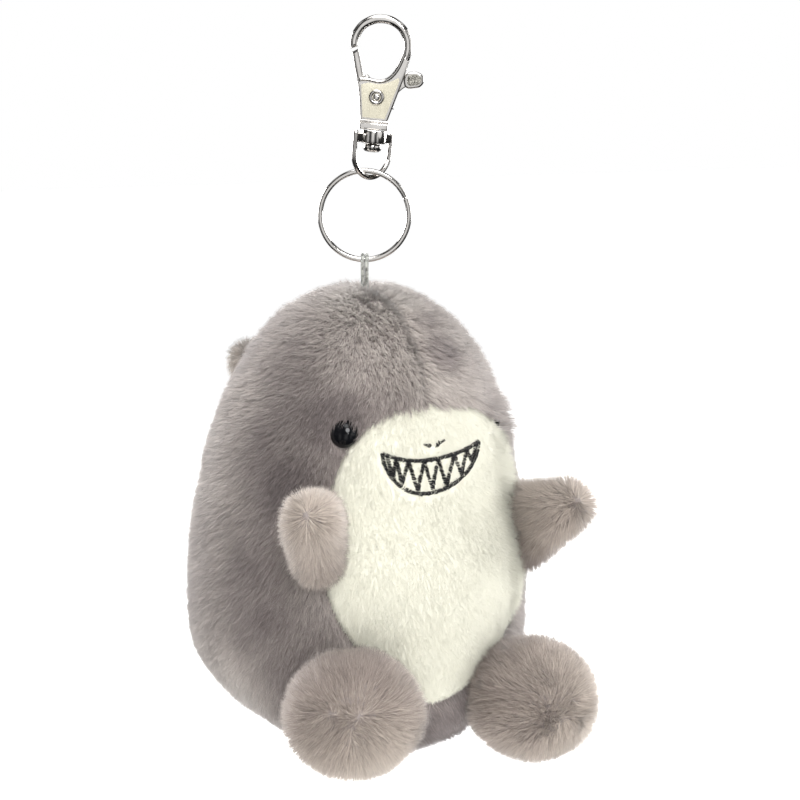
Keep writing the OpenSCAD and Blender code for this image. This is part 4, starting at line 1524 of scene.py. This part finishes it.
def make_clasp():
    half = BODY_T / 2
    parts = [(clasp_loop(), 0)]
    for face in (-1, 1):
        parts.append((clasp_cheek(face * (half - CHEEK_T / 2)), 0))
        parts.append((cheek_face(face * (half + 0.01)), 1))
        parts.append((cheek_rim(face * (half - 0.22)), 0))
    bridge = [(2.9, -17.9, CORNER), (2.4, -20.2, CORNER), (-2.9, -20.2, CORNER), (-3.2, -17.9, CORNER)]
    parts.append((plate(bridge, 2.6, 0.2), 0))
    collar = [(-3.1, -20.7, CORNER), (2.9, -20.7, CORNER), (2.9, -22.1, CORNER), (-3.1, -22.1, CORNER)]
    ledge = [(-3.25, -20.1, CORNER), (3.05, -20.1, CORNER), (3.05, -20.65, CORNER), (-3.25, -20.65, CORNER)]
    parts.append((plate(collar, 3.4, 0.3), 0))
    parts.append((plate(ledge, 3.6, 0.22), 0))
    clasp = joined("clasp_body", parts, [NICKEL, SATIN])
    stand_for(clasp, "clasp", "nickel_plate", "clasp_hook")
    eyelet = [(0, -half - 0.34), (0.5, -half - 0.34), (0.66, -half - 0.28), (0.74, -half - 0.02),
              (0.84, -half - 0.02), (0.92, -half - 0.32), (1.05, -half - 0.44), (1.4, -half - 0.44),
              (1.58, -half - 0.32), (1.66, -half - 0.1), (1.66, -half + 0.05), (0.8, -half + 0.1)]
    eyelet += [(r, -h) for r, h in reversed(eyelet)]
    rivet = spun(eyelet, (*PIVOT, 0), (0, 0, 1))
    rivet.name = "rivet_eyelet"
    dress(rivet, NICKEL, "clasp", "nickel_plate", "gate_rivet")
    head = [(0, -26.8), (1.1, -26.8), (1.6, -26.65), (1.9, -26.3), (2.0, -25.9), (2.0, -25.5), (1.9, -25.25),
            (1.7, -25.17), (1.0, -25.15), (1.0, -19.4), (0, -19.4)]
    stud = spun(head, (0, 0, 0), (0, 1, 0))
    stud.name = "stud_turned"
    dress(stud, NICKEL, "clasp", "nickel_plate", "swivel_stud")


def make_gate():
    finger = [(-5.95, -6.45, CORNER), (-4.55, -5.55, CORNER), (-3.9, -7.6, SMOOTH), (-3.0, -10.9, SMOOTH),
              (-2.75, -12.0, CORNER), (-4.3, -12.15, CORNER), (-4.6, -11.4, SMOOTH)]
    lever = [(-4.2, -11.7, CORNER), (-2.7, -11.7, CORNER), (0.7, -13.2, SMOOTH), (5.2, -10.4, SMOOTH),
             (7.3, -9.9, CORNER), (7.6, -12.1, CORNER), (6.2, -12.5, SMOOTH), (1.6, -16.6, SMOOTH),
             (-1.4, -16.6, SMOOTH)]
    tab = [(5.7, -10.0, SMOOTH), (6.7, -9.45, SMOOTH), (8.1, -9.4, SMOOTH), (9.35, -10.1, SMOOTH),
           (9.6, -11.2, SMOOTH), (9.0, -12.3, SMOOTH), (7.8, -12.75, SMOOTH), (6.1, -12.85, SMOOTH),
           (5.6, -12.4, SMOOTH)]
    grip = [(6.2, -10.5, SMOOTH), (7.0, -10.0, SMOOTH), (8.1, -9.95, SMOOTH), (8.9, -10.45, SMOOTH),
            (9.0, -11.2, SMOOTH), (8.6, -11.9, SMOOTH), (7.7, -12.2, SMOOTH), (6.5, -12.3, SMOOTH)]
    parts = [(plate(finger, 2.1, 0.5), 0), (plate(lever, 1.4, 0.2), 0), (plate(tab, 2.2, 0.35), 0)]
    for face in (-1, 1):
        parts.append((plate(grip, 0.1, 0.03, face * 1.08), 1))
    knuckle = [(0, -1.15), (0.35, -1.15), (0.6, -1.0), (0.7, -0.7), (0.7, 0.7), (0.6, 1.0), (0.35, 1.15),
               (0, 1.15)]
    parts.append((spun(knuckle, (-3.65, -12.0, 0), (0, 0, 1), 24), 0))
    gate = joined("gate_lever", parts, [NICKEL, GRAINED])
    stand_for(gate, "gate", "nickel_plate", "clasp_gate")


# The bail's resting turn, and its sizes and places in mm
BAIL_TURN = math.radians(45)
BAIL_R = 5.2
BAIL_WIRE = 0.55
BAIL_LOW = 31.6 + BAIL_WIRE
LEG_TOP = -22.4
BOSS_TOP, BOSS_LOW = -22.25, -25.0


def make_bail():
    """The swivelling bail: a bent wire on a turned boss with a flat bar through it."""
    across = np.array([math.cos(BAIL_TURN), 0, -math.sin(BAIL_TURN)])
    middle = -BAIL_LOW + BAIL_R
    spots = [(-BAIL_R, z) for z in np.linspace(LEG_TOP, middle, 12)]
    spots += [(-BAIL_R * math.cos(a), middle - BAIL_R * math.sin(a)) for a in np.linspace(0, math.pi, 41)[1:]]
    spots += [(BAIL_R, z) for z in np.linspace(middle, LEG_TOP, 12)[1:]]
    local = np.array([across * x + np.array([0, z, 0]) for x, z in spots])
    path = in_clasp(local)
    k = 20
    side = in_clasp([(math.sin(BAIL_TURN), 0, math.cos(BAIL_TURN))])[0]
    verts, quads = tube_mesh(path, circle(BAIL_WIRE * MM, k), False, side / np.linalg.norm(side))
    verts = verts.reshape(len(path), k, 3)
    # rounded ends: the last rings shrink
    for end in (0, len(path) - 1):
        verts[end] = path[end] + (verts[end] - path[end]) * 0.72
    first = np.vstack([verts.reshape(-1, 3), path[0][None], path[-1][None]])
    caps = [(len(path) * k, (j + 1) % k, j) for j in range(k)]
    last = (len(path) - 1) * k
    caps += [(len(path) * k + 1, last + j, last + (j + 1) % k) for j in range(k)]
    wire = new_object("wire", first, quads, caps)
    boss = [(1.05, BOSS_LOW + 0.02), (2.5, BOSS_LOW + 0.02), (2.73, BOSS_LOW + 0.15), (2.8, BOSS_LOW + 0.4),
            (2.8, BOSS_TOP - 0.4), (2.73, BOSS_TOP - 0.12), (2.5, BOSS_TOP), (1.05, BOSS_TOP),
            (1.05, BOSS_LOW + 0.02)]
    drum = spun(boss, (0, 0, 0), (0, 1, 0))
    bar_half, bar_thick, bar_low, bar_high = BAIL_R, 1.0, BOSS_LOW + 0.15, BOSS_LOW + 2.05
    corner = rounded_box(bar_high - bar_low, bar_thick, 0.45)
    centre = (bar_low + bar_high) / 2
    bars = []
    for sign in (-1, 1):
        ends = np.array([across * sign * x + np.array([0, centre, 0]) for x in (1.4, 2.5, 3.6, bar_half)])
        v, q = tube_mesh(in_clasp(ends), [(a * MM, b * MM) for a, b in corner], False, CLASP_UP)
        bars.append(new_object("bar", v, q))
    bail = joined("bail_wire", [(wire, 0), (drum, 0)] + [(bar, 0) for bar in bars], [NICKEL])
    stand_for(bail, "bail", "nickel_plate", "swivel_bail")


def dress_cad():
    """Node materials for the CAD pieces that stay as they are."""
    steel = mottled("spring_steel", (0.35, 0.35, 0.36), (0.6, 0.6, 0.6), 900, 0.3, 0.05, 2500,
                    metallic=1.0, rough_spread=0.05)
    bag = mottled("bag_cloth", (0.75, 0.73, 0.66), (0.88, 0.86, 0.79), 500, 0.9, 0.6, 3000)
    pellet = mottled("pellet_plastic", (0.75, 0.75, 0.75), (0.86, 0.86, 0.86), 200, 0.45, 0.1, 900)
    washer = mottled("washer_plastic", (0.8, 0.8, 0.8), (0.9, 0.9, 0.9), 300, 0.5, 0.1, 900)
    finishes = {"gate_spring": steel, "pellet_bag": bag, "pellets": pellet, "eye_washer_left": washer,
                "eye_washer_right": washer}
    for node, material in finishes.items():
        NODES[node].data.materials.clear()
        NODES[node].data.materials.append(material)


make_ring()
make_cord()
make_clasp()
make_gate()
make_bail()
dress_cad()
